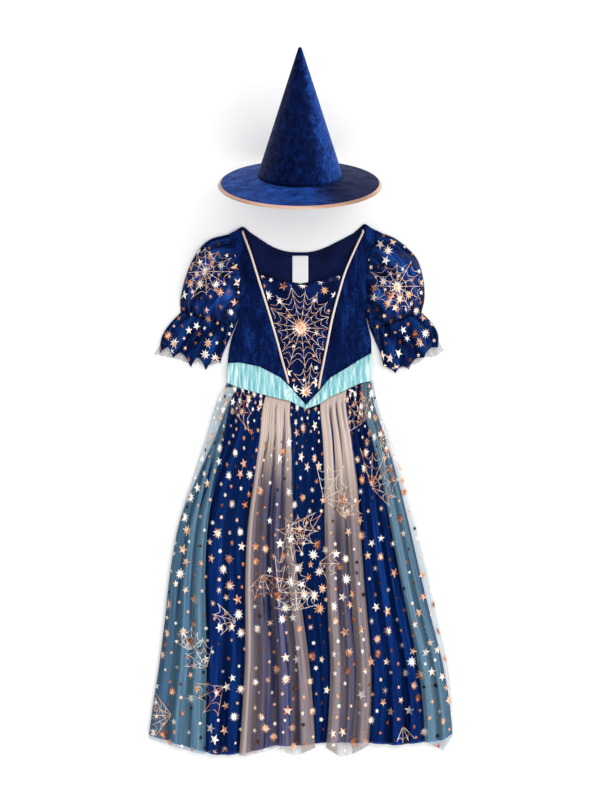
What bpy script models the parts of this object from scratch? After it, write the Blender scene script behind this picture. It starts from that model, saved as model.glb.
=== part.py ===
"""A child's witch costume, laid out flat as in a shop's picture: a long dress and its pointed hat.

Tables are in millimetres and the model is in metres. X is the viewer's right, Y is up the page and Z is up
from the surface that the costume lies on. The origin is on the underside, on the dress's middle line at the
waist.
"""

import math
from collections import namedtuple

import bmesh
import bpy
import numpy as np
from mathutils import Euler, Vector

MM = 0.001

# Cloth, measured straight up
WALL = 1.5
GAP = 0.4
LOFT = 3.2
SEAM = 0.5
ARMHOLE_SEAM = 1.0

# Torso: the armholes and side seams, and the two piped seams beside the centre panel, from the shoulders down
Torso = namedtuple("Torso", "y left piping_left piping_right right")
TORSO = [
    Torso(280, -141, -108.5, 119.5, 156),
    Torso(245, -126, -95.5, 103, 134),
    Torso(205, -116, -83, 86, 130),
    Torso(165, -114, -70.5, 74, 128),
    Torso(120, -116, -56.5, 62, 126),
    Torso(75, -131, -43.5, 53, 135),
    Torso(35, -137, -33, 45, 135),
    Torso(-5, -136, -22, 37.5, 135),
    Torso(-50, -134, -14, 32, 135),
]

# Back panel's top edge: shoulder seams and the hollow of the neck between them
BackTop = namedtuple("BackTop", "x y")
BACK_TOP = [
    BackTop(-141, 275), BackTop(-122, 284), BackTop(-109, 291), BackTop(-94, 280), BackTop(-76, 266),
    BackTop(-57, 254), BackTop(-35, 246), BackTop(0, 242.5), BackTop(35, 245), BackTop(57, 252),
    BackTop(76, 262), BackTop(95, 274), BackTop(112, 288), BackTop(121, 296), BackTop(137, 288),
    BackTop(156, 279),
]
BACK_WAIST = -14

# Front shoulder edges, at their left and right ends
SHOULDER_LEFT = (275, 288)
SHOULDER_RIGHT = (293, 279)

# Centre panel's top edge is a shallow V
CENTRE_TOP = 205
CENTRE_DIP = 24

# Waistband, a gathered V of satin from side seam to side seam
Waist = namedtuple("Waist", "x top bottom")
WAIST = [
    Waist(-137, 32, -6), Waist(-114, 33, -15), Waist(-76, 25, -26), Waist(-38, 5, -36), Waist(-19, -13, -40),
    Waist(11, -47, -55), Waist(36, -21, -46), Waist(57, 4, -32), Waist(87, 22, -19), Waist(114, 39, -6),
    Waist(135, 51, -2),
]
WAIST_POINT = 11
WAIST_COLUMNS = 28
WAIST_GATHER = 0.8
BandRow = namedtuple("BandRow", "share rise")
WAIST_ROWS = [BandRow(0.0, 2.3), BandRow(0.35, 6.3), BandRow(0.7, 6.6), BandRow(1.0, 6.3)]
BODICE_TUCK = 2.5
SKIRT_TUCK = 1.5

PIPING_RADIUS = 2.2
PIPING_POINTS = 18

# Skirt's side seams, from the waist to the hem
Skirt = namedtuple("Skirt", "y left right")
SKIRT = [
    Skirt(0, -135, 135),
    Skirt(-38, -156, 139),
    Skirt(-114, -180.5, 163),
    Skirt(-190, -205, 186),
    Skirt(-266, -228, 205),
    Skirt(-370, -247, 229),
    Skirt(-456, -256.5, 250),
    Skirt(-532, -266, 269.5),
    Skirt(-608, -277.5, 283),
    Skirt(-720, -293, 293),
]

# Skirt's folds from left to right: the share of the width where each starts, and its crest at the hem
Fold = namedtuple("Fold", "panel waist hem crest")
FOLDS = [
    Fold("aqua_left", 0.000, 0.000, 7),
    Fold("aqua_left", 0.030, 0.065, 13),
    Fold("aqua_left", 0.058, 0.130, 9),
    Fold("none", 0.086, 0.193, 14),
    Fold("none", 0.190, 0.250, 8),
    Fold("pink_left", 0.300, 0.302, 12),
    Fold("pink_left", 0.342, 0.345, 8),
    Fold("pink_left", 0.385, 0.420, 16),
    Fold("pink_left", 0.430, 0.490, 9),
    Fold("none", 0.469, 0.548, 5),
    Fold("none", 0.540, 0.567, 4),
    Fold("pink_right", 0.660, 0.585, 11),
    Fold("pink_right", 0.720, 0.640, 8),
    Fold("pink_right", 0.770, 0.680, 13),
    Fold("none", 0.827, 0.724, 10),
    Fold("none", 0.860, 0.785, 15),
    Fold("none", 0.895, 0.850, 9),
    Fold("aqua_right", 0.926, 0.907, 12),
    Fold("aqua_right", 0.965, 0.955, 7),
]
FOLD_SHAPE = ((0.0, 0.0), (0.3, 1.0), (0.66, 0.8))
WAIST_CREST = 2.4
SKIRT_ROWS = (0.0, 0.05, 0.13, 0.24, 0.37, 0.51, 0.65, 0.79, 0.91, 1.0)

# Hems across the skirt: the satin's, and the longer pointed one of the net panels
Hem = namedtuple("Hem", "share satin net")
HEM = [
    Hem(0.00, -674, -679), Hem(0.05, -682, -689), Hem(0.14, -698, -704), Hem(0.24, -711, -716),
    Hem(0.35, -704, -710), Hem(0.42, -694, -698), Hem(0.485, -694, -715), Hem(0.57, -689, -692),
    Hem(0.63, -688, -716), Hem(0.67, -688, -711), Hem(0.73, -689, -691), Hem(0.80, -692, -694),
    Hem(0.92, -686, -688), Hem(0.965, -683, -704), Hem(1.00, -672, -676),
]
PRINT_SHORT = 3
NET_LONGER = 3
BACK_SHORT = 4
AQUA_FLARE = 16

# Puff sleeves: the outer edge from shoulder to cuff, the drawn-in cuff and the armpit, on each side
Edge = namedtuple("Edge", "left_x left_y right_x right_y")
SLEEVE_OUTER = [
    Edge(-141.5, 276, 156.5, 279),
    Edge(-171, 268, 180.5, 270),
    Edge(-191, 252, 204, 252),
    Edge(-209, 222, 224, 229),
    Edge(-221, 187, 234.5, 194),
    Edge(-228, 152, 237, 158),
    Edge(-226, 129, 230, 129),
]
SLEEVE_CUFF = [
    Edge(-226, 129, 230, 129),
    Edge(-190, 118, 199, 117),
    Edge(-161, 110, 171, 106),
    Edge(-122, 104, 132, 99),
]
ARMPIT = 126
SLEEVE_EDGE = 5.0
Puff = namedtuple("Puff", "along loft")
PUFF = [
    Puff(0.0, 4), Puff(0.12, 14), Puff(0.3, 25), Puff(0.55, 31), Puff(0.8, 26), Puff(0.93, 15), Puff(1.0, 6),
]
SLEEVE_RINGS = 11
SLEEVE_FRONT = 18
SLEEVE_BACK = 6
PLEAT = 1.6

# Cuff frills: the points and notches of the hem, from the outer edge to the dress
FRILL_HEM = [
    Edge(-266, 50, 262, 62),
    Edge(-250, 63, 249, 62),
    Edge(-241, 40, 236, 43),
    Edge(-226, 53, 221, 42),
    Edge(-207, 21, 206, 19),
    Edge(-194, 45, 194, 27),
    Edge(-179, 17, 181, 12),
    Edge(-163, 38, 169, 23),
    Edge(-151, 31, 158, 28),
    Edge(-143, 57, 151, 54),
]
CUFF_SEAM = 0.8
FRILL_BOW = 13
FRILL_ROWS = 4
FRILL_WAVE = 4.0
NET_SPREAD = 1.12
NET_WALL = 1.0

# Care label, blank, on the inside of the back
LABEL = (30, 50)
LABEL_TOP = (0.5, 236)

# Hat: it leans towards the viewer, and the back of its rim rests on the surface
HAT_LEAN = math.radians(20.8)
HAT_Y = 377.7
CROWN_RADIUS = 78.6
CROWN_HEIGHT = 243.0
CROWN_WALL = 2.2
CROWN_START = 0.9
TIP_RADIUS = 4.0
BRIM_RADIUS = 150.7
BRIM_SLOPE = math.radians(11.5)
BRIM_WALL = 2.5
BINDING_RADIUS = 153.0
BINDING_WIDTH = 9.0
BINDING_WALL = 1.3
HAT_STEPS = 44

Finish = namedtuple("Finish", "colour roughness metallic")
FINISHES = {
    "velvet": Finish((0.010, 0.030, 0.120), 0.75, 0.0),
    "rose_gold_satin": Finish((0.640, 0.400, 0.330), 0.35, 0.3),
    "navy_satin": Finish((0.006, 0.028, 0.130), 0.35, 0.0),
    "navy_jersey": Finish((0.006, 0.012, 0.070), 0.90, 0.0),
    "printed_mesh": Finish((0.020, 0.022, 0.080), 0.60, 0.2),
    "pink_net": Finish((0.540, 0.390, 0.370), 0.80, 0.0),
    "aqua_net": Finish((0.200, 0.480, 0.560), 0.80, 0.0),
    "aqua_satin": Finish((0.280, 0.660, 0.680), 0.30, 0.1),
    "grey_net": Finish((0.330, 0.360, 0.420), 0.85, 0.0),
    "label_tape": Finish((0.850, 0.850, 0.850), 0.60, 0.0),
}


def clear_scene():
    """Removes whatever the scene starts with."""
    for obj in list(bpy.data.objects):
        bpy.data.objects.remove(obj, do_unlink=True)


def material(name):
    """Returns the named material, made once."""
    if name in bpy.data.materials:
        return bpy.data.materials[name]
    made = bpy.data.materials.new(name)
    made.use_nodes = True
    shader = made.node_tree.nodes["Principled BSDF"]
    finish = FINISHES[name]
    shader.inputs["Base Color"].default_value = (*finish.colour, 1.0)
    shader.inputs["Roughness"].default_value = finish.roughness
    shader.inputs["Metallic"].default_value = finish.metallic
    return made


def smooth(xs, ys, at):
    """Reads a smooth curve through the points (xs, ys), held level past its ends."""
    order = np.argsort(xs)
    xs = np.asarray(xs, float)[order]
    ys = np.asarray(ys, float)[order]
    slopes = np.gradient(ys, xs)
    at = min(max(at, xs[0]), xs[-1])
    i = min(max(int(np.searchsorted(xs, at)) - 1, 0), len(xs) - 2)
    span = xs[i + 1] - xs[i]
    q = (at - xs[i]) / span
    return (
        ys[i] * (1 + 2 * q) * (1 - q) ** 2
        + ys[i + 1] * q * q * (3 - 2 * q)
        + span * (slopes[i] * q * (1 - q) ** 2 - slopes[i + 1] * q * q * (1 - q))
    )


def straight(xs, ys, at):
    """Reads straight lines through the points (xs, ys), for pointed edges."""
    return np.interp(at, xs, ys)


def column(table, by, of, at, read=smooth):
    """Reads column `of` of a table at the place `at` in column `by`."""
    return float(read([getattr(row, by) for row in table], [getattr(row, of) for row in table], at))


def mix(a, b, share):
    """Goes from a to b by a share."""
    return a + (b - a) * share


def ease(share):
    """Rises softly from 0 to 1."""
    share = min(max(share, 0.0), 1.0)
    return share * share * (3 - 2 * share)


def left_edge(y):
    """The dress's left outline at height y on the page."""
    return column(TORSO, "y", "left", y) if y > 0 else column(SKIRT, "y", "left", y)


def right_edge(y):
    """The dress's right outline at height y on the page."""
    return column(TORSO, "y", "right", y) if y > 0 else column(SKIRT, "y", "right", y)


def bed(x, y):
    """Underside of the front cloth: just above the back at the side seams, a little higher between them."""
    share = (x - left_edge(y)) / (right_edge(y) - left_edge(y))
    share = min(max(share, 0.0), 1.0)
    depth = ease((y + 260) / 200)
    return WALL + GAP + LOFT * depth * (1 - (2 * share - 1) ** 4)


def waist_top(x):
    """The waistband's upper edge."""
    return column(WAIST, "x", "top", x, straight)


def waist_bottom(x):
    """The waistband's lower edge."""
    return column(WAIST, "x", "bottom", x, straight)


def meet(x_at, edge):
    """Finds the y where a column, whose x is x_at(y), meets an edge, whose y is edge(x)."""
    y = 0.0
    for _ in range(12):
        y = edge(x_at(y))
    return y


def finish_object(bm, name, finish):
    """Makes an object of a bmesh in millimetres, with its faces pointing out."""
    bmesh.ops.recalc_face_normals(bm, faces=bm.faces[:])
    bmesh.ops.scale(bm, vec=(MM, MM, MM), verts=bm.verts[:])
    mesh = bpy.data.meshes.new(name)
    bm.to_mesh(mesh)
    bm.free()
    mesh.materials.append(material(finish))
    mesh.shade_smooth()
    obj = bpy.data.objects.new(name, mesh)
    bpy.context.scene.collection.objects.link(obj)
    return obj


def cloth(name, finish, columns, rows, upper, lower, tube=False):
    """Makes one wall of cloth from a grid.

    upper(i, j) and lower(i, j) give the two faces' points at column i and row j. A tube's last column is its
    first one again.
    """
    bm = bmesh.new()
    bmesh.ops.create_grid(bm, x_segments=columns, y_segments=rows, size=0.5)
    across = bm.verts.layers.int.new("across")
    down = bm.verts.layers.int.new("down")
    for vert in bm.verts:
        i = round((vert.co.x + 0.5) * columns)
        vert[across] = i % columns if tube else i
        vert[down] = round((0.5 - vert.co.y) * rows)
    for vert in bm.verts:
        vert.co = Vector(upper(vert[across], vert[down]))
    if tube:
        bmesh.ops.remove_doubles(bm, verts=bm.verts[:], dist=0.001)
    copy = bmesh.ops.extrude_face_region(bm, geom=bm.faces[:])
    for vert in copy["geom"]:
        if isinstance(vert, bmesh.types.BMVert):
            vert.co = Vector(lower(vert[across], vert[down]))
    return finish_object(bm, name, finish)


def laid(name, finish, columns, rows, under, wall=WALL):
    """Makes a cloth that lies down: under(i, j) gives its lower face, and the upper one is straight above."""

    def upper(i, j):
        x, y, z = under(i, j)
        return x, y, z + wall

    return cloth(name, finish, columns, rows, upper, under)


def bodice_back():
    """The flat back of the bodice, with the neck's hollow at its top."""
    shares = [(row.x - BACK_TOP[0].x) / (BACK_TOP[-1].x - BACK_TOP[0].x) for row in BACK_TOP]
    rows = 14

    def under(i, j):
        y = mix(BACK_TOP[i].y, BACK_WAIST, j / rows)
        return mix(left_edge(y), right_edge(y), shares[i]), y, 0.0

    laid("bodice_back", "navy_jersey", len(BACK_TOP) - 1, rows, under)


def bodice_panel(name, finish, columns, rows, left, right, top):
    """A front panel of the bodice between two seams, from its top edge down to the waistband."""

    def under(i, j):
        share = i / columns
        bottom = meet(lambda y: mix(left(y), right(y), share), waist_top) - BODICE_TUCK
        y = mix(top(share), bottom, j / rows)
        x = mix(left(y), right(y), share)
        return x, y, bed(x, y)

    laid(name, finish, columns, rows, under)


def bodice_front():
    """The two side panels and the centre panel, clear of the piping between them."""
    beside = PIPING_RADIUS + 1.0
    bodice_panel(
        "bodice_front_left", "velvet", 4, 13,
        left_edge, lambda y: column(TORSO, "y", "piping_left", y) - beside,
        lambda share: mix(SHOULDER_LEFT[0], SHOULDER_LEFT[1], share),
    )
    bodice_panel(
        "bodice_front_right", "velvet", 4, 13,
        lambda y: column(TORSO, "y", "piping_right", y) + beside, right_edge,
        lambda share: mix(SHOULDER_RIGHT[0], SHOULDER_RIGHT[1], share),
    )
    bodice_panel(
        "bodice_centre", "printed_mesh", 10, 12,
        lambda y: column(TORSO, "y", "piping_left", y) + beside,
        lambda y: column(TORSO, "y", "piping_right", y) - beside,
        lambda share: CENTRE_TOP - CENTRE_DIP * (1 - abs(2 * share - 1) ** 1.5),
    )


def piping(side, top):
    """A corded edge that covers one of the front's seams."""

    def seam(y):
        return column(TORSO, "y", "piping_" + side, y)

    curve = bpy.data.curves.new("piping_" + side, "CURVE")
    curve.dimensions = "3D"
    curve.bevel_depth = PIPING_RADIUS * MM
    curve.bevel_resolution = 1
    curve.use_fill_caps = True
    bottom = meet(seam, waist_top) + 2 * PIPING_RADIUS
    line = curve.splines.new("POLY")
    line.points.add(PIPING_POINTS - 1)
    for k, point in enumerate(line.points):
        y = mix(top, bottom, k / (PIPING_POINTS - 1))
        point.co = (seam(y) * MM, y * MM, (bed(seam(y), y) + PIPING_RADIUS) * MM, 1.0)
    curve.materials.append(material("rose_gold_satin"))
    bpy.context.scene.collection.objects.link(bpy.data.objects.new(curve.name, curve))


def waistband(side, start, end):
    """Half of the gathered band, from its side seam to the point at the middle, over the edges it covers."""

    def under(i, j):
        x = mix(start, end, i / WAIST_COLUMNS)
        y = mix(waist_top(x), waist_bottom(x), WAIST_ROWS[j].share)
        gather = WAIST_GATHER * (1 + (-1) ** i)
        return x, y, bed(x, y) + WAIST_ROWS[j].rise + gather

    laid("waistband_" + side, "aqua_satin", WAIST_COLUMNS, len(WAIST_ROWS) - 1, under)


def fold_columns():
    """Lists the skirt's columns: share at the waist, share at the hem, crest height, and panel."""
    ends = FOLDS[1:] + [Fold("end", 1.0, 1.0, 0)]
    found = []
    for fold, after in zip(FOLDS, ends):
        for part, height in FOLD_SHAPE:
            found.append(Fold(
                fold.panel, mix(fold.waist, after.waist, part), mix(fold.hem, after.hem, part),
                fold.crest * height,
            ))
    return found + [ends[-1]]


def skirt_point(at, t, hem, layer):
    """A point of one skirt layer: `at` is its column, t its share of the way down, `layer` its place in the stack."""
    top = meet(lambda y: mix(left_edge(y), right_edge(y), at.waist), waist_bottom) + SKIRT_TUCK
    y = mix(top, hem, t)
    x = mix(left_edge(y), right_edge(y), mix(at.waist, at.hem, t))
    height = at.crest * mix(WAIST_CREST / 12, 1.0, ease(t * 1.15)) * min(1.0, t / SKIRT_ROWS[1])
    return x, y, bed(x, y) + height + layer * (WALL + GAP)


def skirt_layers():
    """The satin skirt's front, the printed mesh over it, and the four net panels on top."""
    columns = fold_columns()
    last = len(columns) - 1
    rows = len(SKIRT_ROWS) - 1

    def satin(i, j):
        hem = column(HEM, "share", "satin", columns[i].hem)
        return skirt_point(columns[i], SKIRT_ROWS[j], hem, 0)

    def printed(i, j):
        hem = column(HEM, "share", "satin", columns[i].hem) + PRINT_SHORT
        return skirt_point(columns[i], SKIRT_ROWS[j], hem, 1)

    laid("skirt_front", "navy_satin", last, rows, satin)
    laid("skirt_print", "printed_mesh", last, rows, printed)
    for panel in ("aqua_left", "pink_left", "pink_right", "aqua_right"):
        inside = [k for k, at in enumerate(columns) if at.panel == panel]
        first, count = inside[0], inside[-1] + 1 - inside[0]
        net_panel(panel, columns[first:first + count + 1], rows)


def net_panel(panel, columns, rows):
    """One long net panel, with its pointed hem below the satin's. The right-hand one stands past the side seam."""
    flared = panel == "aqua_right"
    count = len(columns) - 1

    def under(i, j):
        at = columns[min(i, count)]
        t = SKIRT_ROWS[min(j, rows)]
        hem = column(HEM, "share", "satin", at.hem) + PRINT_SHORT
        x, y, z = skirt_point(at, t, hem, 2)
        if j > rows:
            y = min(y - NET_LONGER, column(HEM, "share", "net", at.hem, straight))
        if i > count:
            x += AQUA_FLARE * math.sin(math.pi * min(1.0, 0.08 + t * 0.9))
            z -= 2.5
        return x, y, z

    laid("tulle_" + panel, panel[:4] + "_net", count + flared, rows + 1, under)


def skirt_back():
    """The skirt's plain back, flat on the surface."""
    columns, rows = 12, 8

    def under(i, j):
        share = i / columns
        hem = column(HEM, "share", "satin", share) + BACK_SHORT
        y = mix(BACK_WAIST - SEAM, hem, j / rows)
        return mix(left_edge(y), right_edge(y), share), y, 0.0

    laid("skirt_back", "navy_satin", columns, rows, under)


def traced(table, side, share, read=smooth):
    """A point of a sleeve's or a frill's edge, at a share of its table's rows."""
    places = list(range(len(table)))
    at = share * (len(table) - 1)
    return np.array([
        read(places, [getattr(row, side + "_" + axis) for row in table], at) for axis in ("x", "y")
    ])


def armhole(side, share):
    """A point of the sleeve's seam with the bodice, from the shoulder to the armpit."""
    outward = -ARMHOLE_SEAM if side == "left" else ARMHOLE_SEAM
    edge = left_edge if side == "left" else right_edge
    y = mix(getattr(SLEEVE_OUTER[0], side + "_y"), ARMPIT, share)
    return np.array([edge(y) + outward, y])


def sleeve_plan(side, u, v):
    """A point of the sleeve in plan: u goes from armhole to cuff, v from the outer edge to the armpit."""
    outer = traced(SLEEVE_OUTER, side, u)
    inner = mix(armhole(side, 1.0), traced(SLEEVE_CUFF, side, 1.0), u)
    seam = armhole(side, v)
    cuff = traced(SLEEVE_CUFF, side, v)
    corners = (
        (1 - u) * (1 - v) * armhole(side, 0.0) + u * (1 - v) * traced(SLEEVE_CUFF, side, 0.0)
        + (1 - u) * v * armhole(side, 1.0) + u * v * traced(SLEEVE_CUFF, side, 1.0)
    )
    return (1 - v) * outer + v * inner + (1 - u) * seam + u * cuff - corners


def ring_place(i, front, back):
    """Gives (share across, 1 on the front, -1 on the back or 0 at a fold) for a point of a flattened ring."""
    if i in (0, front):
        return (0.0 if i == 0 else 1.0), 0
    if i < front:
        return (1 - math.cos(math.pi * i / front)) / 2, 1
    return 1 - (i - front) / back, -1


def flat_tube(name, finish, rings, front, back, plan, height):
    """A tube of cloth that lies flattened: plan(j, v) is its outline and height(j, v, i) its front's top."""
    inset = 0.022

    def outer(i, j):
        v, face = ring_place(i, front, back)
        x, y = plan(j, v)
        z = {1: height(j, v, i), 0: SLEEVE_EDGE / 2, -1: 0.0}[face]
        return x, y, z

    def inner(i, j):
        v, face = ring_place(i, front, back)
        x, y = plan(j, inset + (1 - 2 * inset) * v)
        z = {1: height(j, v, i) - WALL, 0: SLEEVE_EDGE / 2, -1: WALL}[face]
        return x, y, z

    cloth(name, finish, front + back, rings, outer, inner, tube=True)


def sleeve(side):
    """A puff sleeve, gathered into the armhole and the cuff, flat underneath."""

    def plan(j, v):
        return sleeve_plan(side, j / SLEEVE_RINGS, v)

    def height(j, v, i):
        u = j / SLEEVE_RINGS
        loft = column(PUFF, "along", "loft", u) * math.sin(math.pi * v) ** 0.8
        drawn = PLEAT * (ease(1 - u * 3) + ease(3 * u - 2)) * (-1) ** i
        return SLEEVE_EDGE + loft + drawn

    flat_tube("sleeve_" + side, "printed_mesh", SLEEVE_RINGS, SLEEVE_FRONT, SLEEVE_BACK, plan, height)


def frill_plan(side, u, v, spread=1.0):
    """A point of a cuff frill in plan: u goes from the cuff to the hem."""
    outward = -1 if side == "left" else 1
    start = traced(SLEEVE_CUFF, side, v) + np.array([0.0, -CUFF_SEAM])
    end = traced(FRILL_HEM, side, v, straight)
    bow = outward * FRILL_BOW * math.sin(math.pi * u) * max(0.0, 1 - 2.5 * v) ** 2
    return start + (end - start) * u * spread + np.array([bow, 0.0])


def frill(side):
    """The cuff's ruffle: a short flared tube with a pointed hem."""
    front = 18
    back = 9

    def plan(j, v):
        return frill_plan(side, j / FRILL_ROWS, v)

    def height(j, v, i):
        u = j / FRILL_ROWS
        wave = mix(PLEAT, FRILL_WAVE, u) * (1 + (-1) ** i)
        return SLEEVE_EDGE + 3 * math.sin(math.pi * v) + wave

    flat_tube("frill_" + side, "printed_mesh", FRILL_ROWS, front, back, plan, height)


def frill_net(side):
    """The sheer layer inside the frill, a little longer than it."""
    columns, rows = 12, 3

    def under(i, j):
        v = mix(0.15, 0.78, i / columns)
        x, y = frill_plan(side, mix(0.15, 1.0, j / rows), v, NET_SPREAD)
        return x, y, WALL + GAP

    laid("frill_net_" + side, "grey_net", columns, rows, under, NET_WALL)


def care_label():
    """A blank label on the inside of the back, its free end a little up."""
    columns, rows = 1, 4

    def under(i, j):
        x = LABEL_TOP[0] + LABEL[0] * (i / columns - 0.5)
        down = j / rows
        return x, LABEL_TOP[1] - LABEL[1] * down, WALL + GAP + 1.5 * down * down

    laid("care_label", "label_tape", columns, rows, under, 1.0)


def turned(name, finish, profile):
    """Spins a closed profile of (radius, height) points round the hat's axis, and leans it into place."""
    bm = bmesh.new()
    turn = math.pi / HAT_STEPS
    verts = [bm.verts.new((r * math.sin(turn), r * math.cos(turn), a)) for r, a in profile]
    edges = [bm.edges.new((verts[k], verts[(k + 1) % len(verts)])) for k in range(len(verts))]
    bmesh.ops.spin(
        bm, geom=verts + edges, cent=(0, 0, 0), axis=(0, 0, 1), angle=2 * math.pi, steps=HAT_STEPS,
        use_merge=True,
    )
    bmesh.ops.remove_doubles(bm, verts=bm.verts[:], dist=0.001)
    obj = finish_object(bm, name, finish)
    obj.rotation_euler = Euler((HAT_LEAN - math.pi / 2, 0, 0))
    obj.location = (0.0, HAT_Y * MM, hat_lift() * MM)


def on_brim(r, lift):
    """A point at a radius along the brim's slope, `lift` above the middle of its thickness."""
    down = (r - CROWN_RADIUS) * math.tan(BRIM_SLOPE)
    return r + lift * math.sin(BRIM_SLOPE), -down - BRIM_WALL / 2 + lift * math.cos(BRIM_SLOPE)


def binding_outline():
    """The folded binding's section: its outer line from inside top to inside bottom, then its inner line back."""
    thick = BRIM_WALL / 2 + 0.3 + BINDING_WALL
    inner = BRIM_WALL / 2 + 0.3
    start = BINDING_RADIUS - BINDING_WIDTH
    return [
        on_brim(start, thick), on_brim(BINDING_RADIUS - 1.5, thick), on_brim(BINDING_RADIUS, thick / 2),
        on_brim(BINDING_RADIUS, -thick / 2), on_brim(BINDING_RADIUS - 1.5, -thick), on_brim(start, -thick),
        on_brim(start, -inner), on_brim(BRIM_RADIUS + 0.4, -inner), on_brim(BRIM_RADIUS + 0.4, inner),
        on_brim(start, inner),
    ]


def hat_lift():
    """How high the crown's base centre is, so that the lowest facet of the rim rests on the surface."""
    flat = math.cos(math.pi / HAT_STEPS)
    return max(r * flat * math.cos(HAT_LEAN) - a * math.sin(HAT_LEAN) for r, a in binding_outline())


def hat():
    """The pointed crown, open at its base, the sloping brim and the satin binding folded round its edge."""
    slant = math.atan2(CROWN_RADIUS - TIP_RADIUS, CROWN_HEIGHT)
    rings = 4
    outer = [
        (mix(CROWN_RADIUS, TIP_RADIUS, k / rings), mix(CROWN_START, CROWN_HEIGHT - TIP_RADIUS, k / rings))
        for k in range(rings + 1)
    ]
    outer += [(TIP_RADIUS * 0.6, CROWN_HEIGHT - TIP_RADIUS * 0.35), (0.0, CROWN_HEIGHT)]
    inset = CROWN_WALL / math.cos(slant)
    inner = [(r - inset, a) for r, a in outer[:rings]]
    inner_tip = CROWN_HEIGHT - TIP_RADIUS - (CROWN_WALL + 2) / math.sin(slant)
    turned("hat_crown", "velvet", outer + [(0.0, inner_tip)] + inner[::-1])
    hole = CROWN_RADIUS - inset
    half = BRIM_WALL / 2
    middle = (hole + BRIM_RADIUS) / 2
    turned("hat_brim", "velvet", [
        on_brim(hole, half), on_brim(middle, half), on_brim(BRIM_RADIUS, half),
        on_brim(BRIM_RADIUS, -half), on_brim(middle, -half), on_brim(hole, -half),
    ])
    turned("hat_binding", "rose_gold_satin", binding_outline())


def main():
    """Builds the dress from the surface up, then the hat above it."""
    clear_scene()
    bodice_back()
    care_label()
    bodice_front()
    piping("left", 284)
    piping("right", 286)
    waistband("left", WAIST[0].x, WAIST_POINT - SEAM / 2)
    waistband("right", WAIST_POINT + SEAM / 2, WAIST[-1].x)
    skirt_back()
    skirt_layers()
    for side in ("left", "right"):
        sleeve(side)
        frill(side)
        frill_net(side)
    hat()


main()
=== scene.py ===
"""A child's witch costume, laid out flat: a long dress and its pointed hat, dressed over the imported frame.

Tables are in millimetres and meshes are in metres. X is the viewer's right, Y is up the page and Z is up from
the surface. The origin is on the underside, on the dress's middle line at the waist.
"""

import logging
import math
from collections.abc import Callable
from dataclasses import dataclass, field
from enum import Enum
from typing import NamedTuple

import bmesh
import bpy
import numpy as np
from mathutils import Euler, Matrix, Vector
from mathutils.bvhtree import BVHTree

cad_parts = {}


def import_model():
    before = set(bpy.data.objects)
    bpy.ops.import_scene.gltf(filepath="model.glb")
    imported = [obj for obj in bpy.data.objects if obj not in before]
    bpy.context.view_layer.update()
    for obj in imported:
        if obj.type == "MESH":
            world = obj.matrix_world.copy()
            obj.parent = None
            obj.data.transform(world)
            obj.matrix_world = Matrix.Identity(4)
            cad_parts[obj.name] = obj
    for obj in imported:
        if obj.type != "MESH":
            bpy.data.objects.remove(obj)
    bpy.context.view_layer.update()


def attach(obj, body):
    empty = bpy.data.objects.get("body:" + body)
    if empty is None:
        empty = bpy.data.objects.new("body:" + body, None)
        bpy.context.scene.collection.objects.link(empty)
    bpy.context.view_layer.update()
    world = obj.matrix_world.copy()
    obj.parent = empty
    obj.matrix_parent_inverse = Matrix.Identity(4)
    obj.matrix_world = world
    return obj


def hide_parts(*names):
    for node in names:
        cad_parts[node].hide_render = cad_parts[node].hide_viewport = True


LOG = logging.getLogger("costume")
MM = 0.001

Array = np.ndarray
Placing = Callable[[Array, Array], Array]
Course = Callable[[Array], Array]


class Side(Enum):
    """The viewer's left or right."""

    LEFT = "left"
    RIGHT = "right"

    @property
    def outward(self) -> float:
        """The sign of X away from the middle."""
        return -1.0 if self is Side.LEFT else 1.0


class Held(Enum):
    """How a cut of cloth is held in its place."""

    LAID = "laid"
    GATHERED = "gathered"


class TorsoRow(NamedTuple):
    """A row of the bodice: its two edges and the two piped seams between them."""

    y: float
    left: float
    piping_left: float
    piping_right: float
    right: float


class WaistRow(NamedTuple):
    """A place on the waistband: its upper and lower edge."""

    x: float
    top: float
    bottom: float


class SkirtRow(NamedTuple):
    """A row of the skirt: its two side seams."""

    y: float
    left: float
    right: float


class FoldRow(NamedTuple):
    """A fold of the skirt: its panel, its share of the width at the waist and the hem, and its crest."""

    panel: str
    waist: float
    hem: float
    crest: float


class HemRow(NamedTuple):
    """A place on the hem: the satin's edge and the net's."""

    share: float
    satin: float
    net: float


class EdgeRow(NamedTuple):
    """A point of a sleeve's edge, on the left and on the right."""

    left_x: float
    left_y: float
    right_x: float
    right_y: float


def mix(a: float | Array, b: float | Array, share: float | Array) -> float | Array:
    """Goes from a to b by a share."""
    return a + (b - a) * share


def ease(share: float | Array) -> float | Array:
    """Rises softly from 0 to 1."""
    share = np.clip(share, 0.0, 1.0)
    return share * share * (3 - 2 * share)


def uneven(u: Array, v: Array, seed: int, across: float, down: float, waves: int = 6) -> Array:
    """Sums a few waves of unlike length and lean, for soft creases that don't repeat.

    Args:
        u: places across.
        v: places down.
        seed: fixes the waves.
        across: waves in one unit of u, on average.
        down: waves in one unit of v, at most.
        waves: how many are summed.

    Returns:
        Heights of about -1.5 to 1.5.
    """
    draw = np.random.default_rng(seed)
    total = np.zeros_like(u)
    for _ in range(waves):
        turn = across * draw.uniform(0.55, 1.6) * u + down * draw.uniform(-1.0, 1.0) * v
        total += np.sin(2 * math.pi * turn + draw.uniform(0, 2 * math.pi))
    return total / math.sqrt(waves)


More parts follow.
